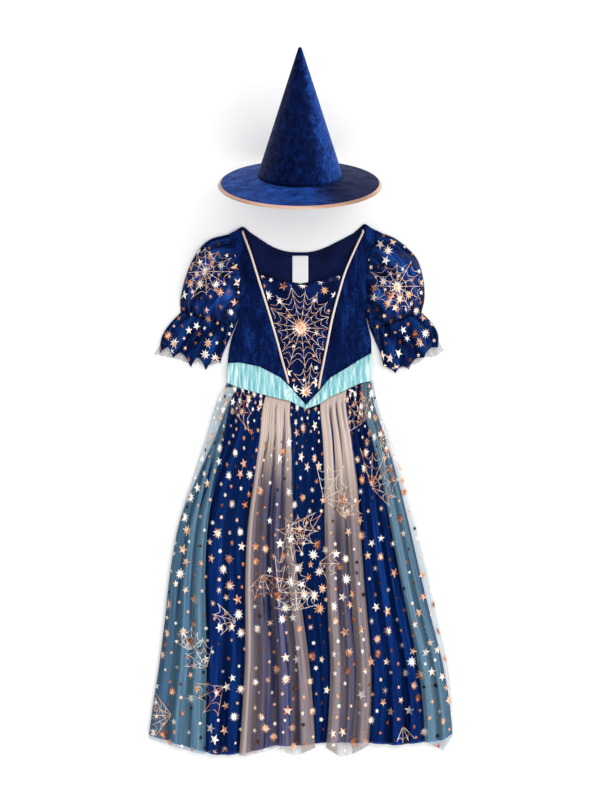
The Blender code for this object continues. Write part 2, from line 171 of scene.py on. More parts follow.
@dataclass(frozen=True)
class Line:
    """A line through measured points, smooth unless it is pointed."""

    at: tuple[float, ...]
    value: tuple[float, ...]
    pointed: bool = False

    @classmethod
    def of(cls, rows: tuple, by: str, column: str, pointed: bool = False) -> "Line":
        """Takes one column of a table by another.

        Args:
            rows: the table.
            by: the column of places.
            column: the column of values.
            pointed: True for straight stretches.

        Returns:
            The line.
        """
        pairs = sorted((getattr(row, by), getattr(row, column)) for row in rows)
        return cls(tuple(pair[0] for pair in pairs), tuple(pair[1] for pair in pairs), pointed)

    def read(self, place: float | Array) -> Array:
        """Reads the line at one or more places, held level past its ends."""
        at = np.asarray(self.at, float)
        value = np.asarray(self.value, float)
        place = np.clip(place, at[0], at[-1])
        if self.pointed:
            return np.interp(place, at, value)
        slope = np.gradient(value, at)
        i = np.clip(np.searchsorted(at, place) - 1, 0, len(at) - 2)
        span = at[i + 1] - at[i]
        q = (place - at[i]) / span
        ends = value[i] * (1 + 2 * q) * (1 - q) ** 2 + value[i + 1] * q * q * (3 - 2 * q)
        return ends + span * (slope[i] * q * (1 - q) ** 2 - slope[i + 1] * q * q * (1 - q))


@dataclass(frozen=True)
class Outline:
    """The dress's measured outline, which its parts share."""

    torso: tuple[TorsoRow, ...] = (
        TorsoRow(280, -141, -108.5, 119.5, 156),
        TorsoRow(245, -126, -95.5, 103, 134),
        TorsoRow(205, -116, -83, 86, 130),
        TorsoRow(165, -114, -70.5, 74, 128),
        TorsoRow(120, -116, -56.5, 62, 126),
        TorsoRow(75, -131, -43.5, 53, 135),
        TorsoRow(35, -137, -33, 45, 135),
        TorsoRow(-5, -136, -22, 37.5, 135),
        TorsoRow(-50, -134, -14, 32, 135),
    )
    skirt: tuple[SkirtRow, ...] = (
        SkirtRow(0, -135, 135),
        SkirtRow(-38, -156, 139),
        SkirtRow(-114, -180.5, 163),
        SkirtRow(-190, -205, 186),
        SkirtRow(-266, -228, 205),
        SkirtRow(-370, -247, 229),
        SkirtRow(-456, -256.5, 250),
        SkirtRow(-532, -266, 269.5),
        SkirtRow(-608, -277.5, 283),
        SkirtRow(-720, -293, 293),
    )
    waist: tuple[WaistRow, ...] = (
        WaistRow(-137, 32, -6),
        WaistRow(-114, 33, -15),
        WaistRow(-76, 25, -26),
        WaistRow(-38, 5, -36),
        WaistRow(-19, -13, -40),
        WaistRow(11, -47, -55),
        WaistRow(36, -21, -46),
        WaistRow(57, 4, -32),
        WaistRow(87, 22, -19),
        WaistRow(114, 39, -6),
        WaistRow(135, 51, -2),
    )
    under: float = 1.9
    loft: float = 3.2

    def edge(self, side: Side, y: Array) -> Array:
        """The dress's outline on one side, at height y on the page."""
        above = Line.of(self.torso, "y", side.value).read(y)
        below = Line.of(self.skirt, "y", side.value).read(y)
        return np.where(np.asarray(y) > 0, above, below)

    def seam(self, side: Side, y: Array) -> Array:
        """The piped seam on one side."""
        return Line.of(self.torso, "y", "piping_" + side.value).read(y)

    def across(self, share: Array, y: Array) -> Array:
        """X at a share of the way from the left edge to the right one."""
        return mix(self.edge(Side.LEFT, y), self.edge(Side.RIGHT, y), share)

    def bed(self, x: Array, y: Array) -> Array:
        """Underside of the front cloth: just above the back at the sides, a little higher between them."""
        left = self.edge(Side.LEFT, y)
        share = np.clip((x - left) / (self.edge(Side.RIGHT, y) - left), 0.0, 1.0)
        return self.under + self.loft * ease((y + 260) / 200) * (1 - (2 * share - 1) ** 4)

    def waist_edge(self, name: str, x: Array) -> Array:
        """The waistband's top or bottom edge."""
        return Line.of(self.waist, "x", name, pointed=True).read(x)

    def meet(self, x_at: Callable[[Array], Array], name: str, like: Array) -> Array:
        """Finds where columns, whose x is x_at(y), meet the waistband's top or bottom edge.

        Args:
            x_at: gives x for y.
            name: top or bottom.
            like: an array of the wanted length.

        Returns:
            The y of each column.
        """
        y = np.zeros_like(like)
        for _ in range(14):
            y = self.waist_edge(name, x_at(y))
        return y


def linear(code: str, alpha: float = 1.0) -> tuple[float, float, float, float]:
    """Turns a hex sRGB colour into a linear one.

    Args:
        code: such as "#0c2a63".
        alpha: the fourth value.

    Returns:
        Red, green, blue and alpha.
    """
    parts = [int(code[k:k + 2], 16) / 255 for k in (1, 3, 5)]
    red, green, blue = (p / 12.92 if p <= 0.04045 else ((p + 0.055) / 1.055) ** 2.4 for p in parts)
    return red, green, blue, alpha


def add_node(
    tree: bpy.types.NodeTree,
    kind: str,
    settings: dict[str | int, object] | None = None,
    links: dict[str | int, bpy.types.NodeSocket] | None = None,
) -> bpy.types.Node:
    """Adds a node.

    Args:
        tree: the material's tree.
        kind: Blender's name for it, without ShaderNode.
        settings: values of its properties or inputs; "stops" are a ramp's places and colours.
        links: what feeds its inputs.

    Returns:
        The node.
    """
    node = tree.nodes.new("ShaderNode" + kind)
    for key, value in (settings or {}).items():
        if key == "stops":
            ramp = node.color_ramp.elements
            ramp.remove(ramp[1])
            ramp[0].position, ramp[0].color = value[0]
            for place, colour in value[1:]:
                ramp.new(place).color = colour
        elif isinstance(key, str) and hasattr(node, key):
            setattr(node, key, value)
        else:
            node.inputs[key].default_value = value
    for key, source in (links or {}).items():
        tree.links.new(source, node.inputs[key])
    return node


def grey(value: float) -> tuple[float, float, float, float]:
    """A plain value as a ramp's colour."""
    return value, value, value, 1.0


@dataclass(frozen=True)
class Finish:
    """A named finish, made into a material once."""

    name: str

    def dress(self, tree: bpy.types.NodeTree, shader: bpy.types.Node) -> None:
        """Adds the finish's own nodes."""

    def paint_fold_shade(
        self, tree: bpy.types.NodeTree, colour: bpy.types.NodeSocket, hollow: tuple[float, float, float],
    ) -> bpy.types.NodeSocket:
        """Paints shade into the cloth's colour down in its folds, where little light reaches.

        Args:
            tree: the material's tree.
            colour: the cloth's colour.
            hollow: the height of the hollows and of the crests in millimetres, and how dark the painted shade in the
                hollows is.

        Returns:
            The shaded colour.
        """
        lift = add_node(tree, "Attribute", {"attribute_name": "lift"}).outputs["Fac"]
        level = add_node(tree, "MapRange", {
            "interpolation_type": "SMOOTHSTEP", "From Min": hollow[0], "From Max": hollow[1],
            "To Min": hollow[2], "To Max": 1.0,
        }, {"Value": lift})
        shaded = add_node(tree, "Mix", {
            "data_type": "RGBA", "blend_type": "MULTIPLY", 0: 1.0,
        }, {6: colour, 7: level.outputs[0]})
        return shaded.outputs[2]

    def material(self) -> bpy.types.Material:
        """Returns the material, made at its first use."""
        if self.name in bpy.data.materials:
            return bpy.data.materials[self.name]
        made = bpy.data.materials.new(self.name)
        made.use_nodes = True
        self.dress(made.node_tree, made.node_tree.nodes["Principled BSDF"])
        return made

    def set(self, shader: bpy.types.Node, **values: object) -> None:
        """Sets sockets of the shader; underscores in a name stand for spaces."""
        for key, value in values.items():
            shader.inputs[key.replace("_", " ")].default_value = value


@dataclass(frozen=True)
class CrushedVelvet(Finish):
    """Crushed polyester velvet: pile pressed every way, so patches shine royal blue beside near-black ones; that
    shine is painted into its colour.
    """

    deep: str = "#020513"
    middle: str = "#0a1845"
    bright: str = "#1f4a9c"
    patch: tuple[float, float] = (12.0, 12.0)
    side_light: tuple[float, float] = (0.0, 0.0)
    turn: tuple[float, float] = (-1.0, 1.0)

    def dress(self, tree: bpy.types.NodeTree, shader: bpy.types.Node) -> None:
        """Adds crushed patches, painted light and shade that makes one side of a turned piece lighter and the other
        darker as its leaning pile catches the light, and its grain.
        """
        place = add_node(tree, "TexCoord").outputs["Object"]
        drawn = add_node(tree, "Mapping", {
            "Scale": (1000 / self.patch[0], 1000 / self.patch[1], 1000 / self.patch[0]),
        }, {"Vector": place})
        patches = add_node(tree, "TexNoise", {
            "Scale": 1.0, "Detail": 5.0, "Roughness": 0.66, "Distortion": 0.5,
        }, {"Vector": drawn.outputs[0]})
        fine = add_node(tree, "TexNoise", {
            "Scale": 1000 / 4.0, "Detail": 3.0, "Roughness": 0.7, "Distortion": 0.4,
        }, {"Vector": place})
        both = add_node(tree, "Mix", {
            "data_type": "FLOAT", 0: 0.4,
        }, {2: patches.outputs["Fac"], 3: fine.outputs["Fac"]})
        # Painted light and shade: one side of a turned piece is painted lighter and the other darker, by which way it
        # faces.
        facing = add_node(tree, "Attribute", {"attribute_name": "facing"}).outputs["Fac"]
        lean = add_node(tree, "MapRange", {
            "interpolation_type": "SMOOTHSTEP", "From Min": self.turn[0], "From Max": self.turn[1],
            "To Min": self.side_light[0], "To Max": self.side_light[1],
        }, {"Value": facing})
        total = add_node(tree, "Math", {"operation": "ADD"}, {0: both.outputs[0], 1: lean.outputs[0]})
        ramp = add_node(tree, "ValToRGB", {"stops": (
            (0.32, linear(self.deep)), (0.52, linear(self.middle)), (0.78, linear(self.bright)),
        )}, {"Fac": total.outputs[0]})
        tree.links.new(ramp.outputs["Color"], shader.inputs["Base Color"])
        pile = add_node(tree, "TexNoise", {"Scale": 1000 / 1.6, "Detail": 2.0}, {"Vector": place})
        rough = add_node(tree, "MapRange", {
            "From Min": 0.35, "From Max": 0.7, "To Min": 0.82, "To Max": 0.5,
        }, {"Value": both.outputs[0]})
        tree.links.new(rough.outputs[0], shader.inputs["Roughness"])
        height = add_node(tree, "Mix", {
            "data_type": "FLOAT", 0: 0.45,
        }, {2: both.outputs[0], 3: pile.outputs["Fac"]})
        bump = add_node(tree, "Bump", {"Strength": 0.4, "Distance": 0.0012}, {"Height": height.outputs[0]})
        tree.links.new(bump.outputs[0], shader.inputs["Normal"])
        self.set(
            shader, Sheen_Weight=0.1, Sheen_Roughness=0.3, Sheen_Tint=linear("#4a78d6"),
            Specular_IOR_Level=0.2, Specular_Tint=linear("#2f5fd0"),
        )


@dataclass(frozen=True)
class Satin(Finish):
    """Polyester satin: long floats along the cloth give soft streaked highlights down its folds, which are painted
    into its colour, with painted shade in the hollows.
    """

    dark: str = "#060d2a"
    body: str = "#0b2a68"
    light: str = "#15499a"
    gloss: str = "#ffffff"
    roughness: float = 0.36
    relief: float = 0.16
    streak: float = 16.0
    length: float = 260.0
    specular: float = 0.5
    hollow: tuple[float, float, float] = (0.0, 1.0, 1.0)

    def dress(self, tree: bpy.types.NodeTree, shader: bpy.types.Node) -> None:
        """Adds painted highlight and shade streaks along the cloth, painted shade down in its folds, and its fine
        weave.
        """
        place = add_node(tree, "UVMap", {"uv_map": "cloth"}).outputs[0]
        drawn = add_node(tree, "Mapping", {
            "Scale": (1000 / self.streak, 1000 / self.length, 1.0),
        }, {"Vector": place})
        streaks = add_node(tree, "TexNoise", {
            "Scale": 1.0, "Detail": 3.0, "Roughness": 0.55, "Distortion": 0.25,
        }, {"Vector": drawn.outputs[0]})
        # Painted light: the light and dark streaks are painted highlights and shade, and the folds' hollows get
        # painted shade.
        ramp = add_node(tree, "ValToRGB", {"stops": (
            (0.32, linear(self.dark)), (0.5, linear(self.body)), (0.68, linear(self.light)),
        )}, {"Fac": streaks.outputs["Fac"]})
        tree.links.new(self.paint_fold_shade(tree, ramp.outputs["Color"], self.hollow), shader.inputs["Base Color"])
        # The floats are 0.3 mm apart, drawn 1.4 mm apart so that they show
        weave = add_node(tree, "TexWave", {
            "wave_type": "BANDS", "bands_direction": "X", "Scale": 1000 / 1.4 / 6.28,
            "Distortion": 1.5, "Detail": 2.0,
        }, {"Vector": place})
        level = add_node(tree, "Mix", {
            "data_type": "FLOAT", 0: 0.5,
        }, {2: streaks.outputs["Fac"], 3: weave.outputs["Fac"]})
        bump = add_node(tree, "Bump", {"Strength": self.relief, "Distance": 0.0008}, {"Height": level.outputs[0]})
        tree.links.new(bump.outputs[0], shader.inputs["Normal"])
        rough = add_node(tree, "MapRange", {
            "From Min": 0.3, "From Max": 0.7, "To Min": self.roughness + 0.1, "To Max": self.roughness - 0.06,
        }, {"Value": streaks.outputs["Fac"]})
        tree.links.new(rough.outputs[0], shader.inputs["Roughness"])
        self.set(shader, Specular_IOR_Level=self.specular, Specular_Tint=linear(self.gloss))


@dataclass(frozen=True)
class Jersey(Finish):
    """Knitted polyester jersey: matt, with fine rows of loops, and a stitched hem at the neck."""

    body: str = "#111a44"
    shade: str = "#0c1232"
    hem: float = 9.0

    def dress(self, tree: bpy.types.NodeTree, shader: bpy.types.Node) -> None:
        """Adds the knit, soft unevenness, and a line of stitches below the neck's edge."""
        place = add_node(tree, "UVMap", {"uv_map": "cloth"}).outputs[0]
        # Loops are 0.6 mm wide, drawn 1.6 mm wide so that they show
        knit = add_node(tree, "TexWave", {
            "wave_type": "BANDS", "bands_direction": "X", "Scale": 1000 / 1.6 / 6.28,
            "Distortion": 2.0, "Detail": 2.0, "Detail Scale": 3.0,
        }, {"Vector": place})
        cloud = add_node(tree, "TexNoise", {"Scale": 24.0, "Detail": 3.0}, {"Vector": place})
        ramp = add_node(tree, "ValToRGB", {"stops": (
            (0.35, linear(self.shade)), (0.65, linear(self.body)),
        )}, {"Fac": cloud.outputs["Fac"]})
        depth = add_node(tree, "Attribute", {"attribute_name": "depth"}).outputs["Fac"]
        line = add_node(tree, "Math", {
            "operation": "COMPARE", 1: self.hem * MM, 2: 0.0007,
        }, {0: depth})
        dark = add_node(tree, "Mix", {
            "data_type": "RGBA", 7: linear("#060a20"),
        }, {0: line.outputs[0], 6: ramp.outputs["Color"]})
        tree.links.new(dark.outputs[2], shader.inputs["Base Color"])
        bump = add_node(tree, "Bump", {"Strength": 0.2, "Distance": 0.0006}, {"Height": knit.outputs["Fac"]})
        tree.links.new(bump.outputs[0], shader.inputs["Normal"])
        self.set(shader, Roughness=0.9, Specular_IOR_Level=0.06)


@dataclass(frozen=True)
class Mesh(Finish):
    """Lined polyester mesh, the ground of the foil print: dark between its threads, blue where they lean and catch
    the light; that sheen is painted in soft patches, with painted shade in its folds.
    """

    dark: str = "#050818"
    body: str = "#0b173f"
    light: str = "#1c4490"
    alpha: float = 1.0
    patch: tuple[float, float] = (38.0, 38.0)
    hollow: tuple[float, float, float] = (0.0, 1.0, 1.0)

    def dress(self, tree: bpy.types.NodeTree, shader: bpy.types.Node) -> None:
        """Adds the crossed threads, soft patches of painted sheen and shade, and painted shade in the folds."""
        place = add_node(tree, "UVMap", {"uv_map": "cloth"}).outputs[0]
        drawn = add_node(tree, "Mapping", {
            "Scale": (1000 / self.patch[0], 1000 / self.patch[1], 1.0),
        }, {"Vector": place})
        cloud = add_node(tree, "TexNoise", {
            "Scale": 1.0, "Detail": 4.0, "Roughness": 0.6, "Distortion": 0.8,
        }, {"Vector": drawn.outputs[0]})
        # Painted sheen and shade: the light patches are painted sheen, the dark ones painted shade, and the folds'
        # hollows get painted shade.
        ramp = add_node(tree, "ValToRGB", {"stops": (
            (0.36, linear(self.dark)), (0.52, linear(self.body)), (0.72, linear(self.light)),
        )}, {"Fac": cloud.outputs["Fac"]})
        tree.links.new(self.paint_fold_shade(tree, ramp.outputs["Color"], self.hollow), shader.inputs["Base Color"])
        # Threads are 0.7 mm apart, drawn 1.8 mm apart so that they show
        weft = add_node(tree, "TexWave", {
            "wave_type": "BANDS", "bands_direction": "X", "Scale": 1000 / 1.8 / 6.28, "Distortion": 0.6,
        }, {"Vector": place})
        warp = add_node(tree, "TexWave", {
            "wave_type": "BANDS", "bands_direction": "Y", "Scale": 1000 / 1.8 / 6.28, "Distortion": 0.6,
        }, {"Vector": place})
        cross = add_node(tree, "Math", {
            "operation": "MAXIMUM",
        }, {0: weft.outputs["Fac"], 1: warp.outputs["Fac"]})
        bump = add_node(tree, "Bump", {"Strength": 0.2, "Distance": 0.0006}, {"Height": cross.outputs[0]})
        tree.links.new(bump.outputs[0], shader.inputs["Normal"])
        self.set(
            shader, Roughness=0.48, Specular_IOR_Level=0.35, Specular_Tint=linear("#2a58c4"), Alpha=self.alpha,
            Sheen_Weight=0.03, Sheen_Roughness=0.4, Sheen_Tint=linear("#4a6fc0"),
        )


@dataclass(frozen=True)
class Net(Finish):
    """Soft nylon tulle: sheer where it is single, nearly solid where gathers and folds lay it on itself."""

    thin: str = "#ab9a9c"
    thick: str = "#d6c2b8"
    cover: tuple[tuple[float, float], ...] = ((0.0, 0.8), (1.0, 0.5))
    gathered: float = 0.96
    reach: tuple[float, float] = (0.06, 0.3)
    hollow: tuple[float, float, float] = (5.0, 15.0, 0.68)

    def dress(self, tree: bpy.types.NodeTree, shader: bpy.types.Node) -> None:
        """Adds the cover across the panel, denser at the waist, streaks of laid-over net, and painted shade in the
        folds.
        """
        place = add_node(tree, "UVMap", {"uv_map": "cloth"}).outputs[0]
        across = add_node(tree, "Attribute", {"attribute_name": "across"}).outputs["Fac"]
        down = add_node(tree, "Attribute", {"attribute_name": "down"}).outputs["Fac"]
        drawn = add_node(tree, "Mapping", {"Scale": (110.0, 3.0, 1.0)}, {"Vector": place})
        streaks = add_node(tree, "TexNoise", {
            "Scale": 1.0, "Detail": 3.0, "Roughness": 0.6, "Distortion": 0.3,
        }, {"Vector": drawn.outputs[0]})
        shift = add_node(tree, "MapRange", {
            "From Min": 0.3, "From Max": 0.7, "To Min": -0.03, "To Max": 0.03,
        }, {"Value": streaks.outputs["Fac"]})
        moved = add_node(tree, "Math", {"operation": "ADD"}, {0: across, 1: shift.outputs[0]})
        cover = add_node(tree, "ValToRGB", {
            "stops": tuple((place_at, grey(value)) for place_at, value in self.cover),
        }, {"Fac": moved.outputs[0]})
        waist = add_node(tree, "MapRange", {
            "interpolation_type": "SMOOTHSTEP", "From Min": self.reach[0], "From Max": self.reach[1],
            "To Min": 1.0, "To Max": 0.0,
        }, {"Value": down})
        dense = add_node(tree, "Mix", {
            "data_type": "FLOAT", 3: self.gathered,
        }, {0: waist.outputs[0], 2: cover.outputs["Color"]})
        vary = add_node(tree, "MapRange", {
            "From Min": 0.3, "From Max": 0.7, "To Min": -0.09, "To Max": 0.16,
        }, {"Value": streaks.outputs["Fac"]})
        alpha = add_node(tree, "Math", {
            "operation": "ADD", "use_clamp": True,
        }, {0: dense.outputs[0], 1: vary.outputs[0]})
        tree.links.new(alpha.outputs[0], shader.inputs["Alpha"])
        colour = add_node(tree, "ValToRGB", {"stops": (
            (0.2, linear(self.thin)), (0.85, linear(self.thick)),
        )}, {"Fac": alpha.outputs[0]})
        # Painted shade: the net's colour is darkened down in the folds.
        tree.links.new(self.paint_fold_shade(tree, colour.outputs["Color"], self.hollow), shader.inputs["Base Color"])
        bump = add_node(tree, "Bump", {"Strength": 0.25, "Distance": 0.001}, {"Height": streaks.outputs["Fac"]})
        tree.links.new(bump.outputs[0], shader.inputs["Normal"])
        self.set(shader, Roughness=0.75, Specular_IOR_Level=0.15)


@dataclass(frozen=True)
class Foil(Finish):
    """Hot-stamped metal foil: each motif catches the light its own way, painted into its colour from a dark copper
    reflection to a white glint.
    """

    def dress(self, tree: bpy.types.NodeTree, shader: bpy.types.Node) -> None:
        """Adds each motif's tone, painted from a dark copper reflection to a white glint, and the foil's fine
        crackle, which bumps it and also paints lighter and darker glints across each motif.
        """
        tone = add_node(tree, "Attribute", {"attribute_name": "tone"}).outputs["Fac"]
        place = add_node(tree, "TexCoord").outputs["Object"]
        crackle_and_glint = add_node(tree, "TexNoise", {"Scale": 130.0, "Detail": 4.0}, {"Vector": place})
        shift = add_node(tree, "MapRange", {
            "From Min": 0.3, "From Max": 0.7, "To Min": -0.3, "To Max": 0.3,
        }, {"Value": crackle_and_glint.outputs["Fac"]})
        total = add_node(tree, "Math", {"operation": "ADD"}, {0: tone, 1: shift.outputs[0]})
        # Painted reflection: the ramp runs from dark reflected copper to a white glint.
        ramp = add_node(tree, "ValToRGB", {"stops": (
            (0.0, linear("#191322")), (0.12, linear("#4a2218")), (0.3, linear("#a4552f")),
            (0.5, linear("#d99468")), (0.72, linear("#f4cbae")), (0.92, linear("#fffaf2")),
        )}, {"Fac": total.outputs[0]})
        tree.links.new(ramp.outputs["Color"], shader.inputs["Base Color"])
        bump = add_node(tree, "Bump", {"Strength": 0.15, "Distance": 0.0005}, {"Height": crackle_and_glint.outputs["Fac"]})
        tree.links.new(bump.outputs[0], shader.inputs["Normal"])
        self.set(shader, Metallic=0.55, Roughness=0.34)


@dataclass(frozen=True)
class Tape(Finish):
    """Woven satin tape, blank: white, with a close rib across it."""

    body: str = "#f3f3f3"

    def dress(self, tree: bpy.types.NodeTree, shader: bpy.types.Node) -> None:
        """Adds the rib."""
        place = add_node(tree, "UVMap", {"uv_map": "cloth"}).outputs[0]
        rib = add_node(tree, "TexWave", {
            "wave_type": "BANDS", "bands_direction": "Y", "Scale": 1000 / 1.2 / 6.28, "Distortion": 0.3,
        }, {"Vector": place})
        ramp = add_node(tree, "ValToRGB", {"stops": (
            (0.0, linear("#e6e6e8")), (1.0, linear(self.body)),
        )}, {"Fac": rib.outputs["Fac"]})
        tree.links.new(ramp.outputs["Color"], shader.inputs["Base Color"])
        bump = add_node(tree, "Bump", {"Strength": 0.1, "Distance": 0.0004}, {"Height": rib.outputs["Fac"]})
        tree.links.new(bump.outputs[0], shader.inputs["Normal"])
        self.set(shader, Roughness=0.5)


@dataclass(frozen=True)
class Paper(Finish):
    """Matt white background paper with a faint tooth."""

    body: str = "#ffffff"

    def dress(self, tree: bpy.types.NodeTree, shader: bpy.types.Node) -> None:
        """Adds the tooth."""
        place = add_node(tree, "TexCoord").outputs["Object"]
        tooth = add_node(tree, "TexNoise", {"Scale": 900.0, "Detail": 2.0}, {"Vector": place})
        ramp = add_node(tree, "ValToRGB", {"stops": (
            (0.0, linear("#fafafa")), (1.0, linear(self.body)),
        )}, {"Fac": tooth.outputs["Fac"]})
        tree.links.new(ramp.outputs["Color"], shader.inputs["Base Color"])
        self.set(shader, Roughness=1.0, Specular_IOR_Level=0.0)


# The hat velvets paint one side of each piece lighter and the other darker: painted light and shade.
HAT_VELVET = CrushedVelvet("crushed_velvet_crown", patch=(9.0, 12.0), side_light=(-0.06, 0.2), turn=(0.2, 1.0))
BRIM_VELVET = CrushedVelvet("crushed_velvet_brim", patch=(30.0, 7.0), side_light=(0.17, -0.06), turn=(0.1, 0.6))
DRESS_VELVET = CrushedVelvet("crushed_velvet_bodice", patch=(14.0, 55.0), side_light=(0.01, 0.01))
BINDING_SATIN = Satin(
    "rose_gold_satin_tape", dark="#86604e", body="#bd8f78", light="#f0d2be", roughness=0.3, streak=30.0,
)
PIPING_SATIN = Satin(
    "rose_gold_satin_cord", dark="#c39c88", body="#e2c6b5", light="#f6e6da", roughness=0.3, streak=30.0,
)
# The hollow settings set how dark the painted shade is down in the folds.
NAVY_SATIN = Satin(
    "polyester_satin_navy", dark="#061440", body="#0d3484", light="#1b56b4", gloss="#3a78e0", specular=0.6,
    hollow=(3.0, 14.0, 0.34),
)
AQUA_SATIN = Satin(
    "polyester_satin_aqua", dark="#5aa5b6", body="#8fd0d5", light="#e2f5f5", roughness=0.26, relief=0.5,
    streak=6.0, length=60.0, specular=0.5,
)
JERSEY = Jersey("knitted_jersey_navy")
LINED_MESH = Mesh("printed_mesh_lined", dark="#060a1e", body="#0a1336", light="#142a66")
SLEEVE_MESH = Mesh(
    "printed_mesh_gathered", body="#0c1f52", light="#2458b0", patch=(22.0, 80.0), hollow=(3.0, 28.0, 0.45),
)
SHEER_MESH = Mesh(
    "printed_mesh_sheer", dark="#03071a", body="#0a1f58", light="#1c4a9c", alpha=0.26, patch=(12.0, 240.0),
    hollow=(4.0, 16.0, 0.4),
)
PINK_LEFT = Net("pink_tulle_left", cover=(
    (0.0, 0.62), (0.11, 0.62), (0.14, 0.2), (0.29, 0.16), (0.33, 0.05), (0.8, 0.07), (0.84, 0.3), (1.0, 0.34),
))
PINK_RIGHT = Net("pink_tulle_right", cover=(
    (0.0, 0.34), (0.2, 0.34), (0.24, 0.1), (0.58, 0.08), (0.62, 0.26), (1.0, 0.32),
), reach=(0.12, 0.42))
AQUA_LEFT = Net(
    "aqua_tulle_left", thin="#7fb0c8", thick="#c4e6ec",
    cover=((0.0, 0.12), (0.3, 0.1), (0.55, 0.17), (1.0, 0.22)), gathered=0.16, reach=(0.02, 0.2),
)
AQUA_RIGHT = Net(
    "aqua_tulle_right", thin="#86b4cc", thick="#c8e8ee",
    cover=((0.0, 0.24), (0.4, 0.18), (0.8, 0.16), (0.86, 0.07), (1.0, 0.05)), gathered=0.18, reach=(0.02, 0.2),
)
GREY_NET = Net(
    "grey_tulle", thin="#b6b4ba", thick="#d8d4d2", cover=((0.0, 0.22), (1.0, 0.22)), gathered=0.3,
    hollow=(0.0, 1.0, 1.0),
)
FOIL = Foil("rose_gold_foil")
LABEL_TAPE = Tape("woven_label_tape")
PAPER = Paper("white_background_paper")


def surface_area(mesh: bpy.types.Mesh) -> float:
    """A mesh's area in square metres."""
    return sum(face.area for face in mesh.polygons)


def keep(piece: bpy.types.Object, slot: str, *nodes: str) -> bpy.types.Object:
    """Lets a piece ride on the costume and stand for its nodes, and reports it."""
    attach(piece, "root")
    if nodes:
        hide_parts(*nodes)
    LOG.info("%s: %d faces, %.4f m2", piece.name, len(piece.data.polygons), surface_area(piece.data))
    return piece


def link(mesh: bpy.types.Mesh, name: str, finish: Finish) -> bpy.types.Object:
    """Puts a mesh in the scene with its finish."""
    mesh.materials.append(finish.material())
    mesh.shade_smooth()
    piece = bpy.data.objects.new(name, mesh)
    bpy.context.scene.collection.objects.link(piece)
    return piece


@dataclass
class Cloth:
    """One cut of cloth: a grid that a placing function lays out, in millimetres."""

    name: str
    finish: Finish
    columns: int
    rows: int
    place: Placing
    cut: tuple[float, float]
    wall: float = 0.6
    tube: bool = False
    depth: Placing | None = None
    held: Held | None = None
    area: float = 0.0
    rests_on: tuple[str, ...] = ()

    def build(self) -> bpy.types.Object:
        """Makes the cloth.

        Returns:
            The object. Its map "cloth" is in metres, and "across" and "down" are shares of the cut.
        """
        bm = bmesh.new()
        bmesh.ops.create_grid(bm, x_segments=self.columns, y_segments=self.rows, size=0.5)
        chart = bm.loops.layers.uv.new("cloth")
        across = bm.verts.layers.float.new("across")
        down = bm.verts.layers.float.new("down")
        depth = bm.verts.layers.float.new("depth")
        lift = bm.verts.layers.float.new("lift")
        for face in bm.faces:
            for loop in face.loops:
                spot = loop.vert.co
                loop[chart].uv = ((spot.x + 0.5) * self.cut[0] * MM, (spot.y - 0.5) * self.cut[1] * MM)
        u = np.array([vert.co.x for vert in bm.verts]) + 0.5
        v = 0.5 - np.array([vert.co.y for vert in bm.verts])
        points = self.place(u, v) * MM
        deep = self.depth(u, v) * MM if self.depth else v * self.cut[1] * MM
        for k, vert in enumerate(bm.verts):
            vert.co = points[k]
            # The lift, each point's height in millimetres, is where painted shade darkens the folds' hollows.
            vert[across], vert[down], vert[depth], vert[lift] = u[k], v[k], deep[k], points[k][2] / MM
        if self.tube:
            bmesh.ops.remove_doubles(bm, verts=bm.verts[:], dist=1e-5)
            bmesh.ops.recalc_face_normals(bm, faces=bm.faces[:])
        bm.normal_update()
        if not self.tube and sum(face.normal.z for face in bm.faces) < 0:
            bmesh.ops.reverse_faces(bm, faces=bm.faces[:])
        mesh = bpy.data.meshes.new(self.name)
        bm.to_mesh(mesh)
        bm.free()
        piece = link(mesh, self.name, self.finish)
        thick = piece.modifiers.new("wall", "SOLIDIFY")
        thick.thickness = self.wall * MM
        thick.offset = -1.0
        return piece


def stack(x: Array, y: Array, z: Array) -> Array:
    """Joins three columns into points."""
    return np.stack(np.broadcast_arrays(x, y, z), axis=-1)


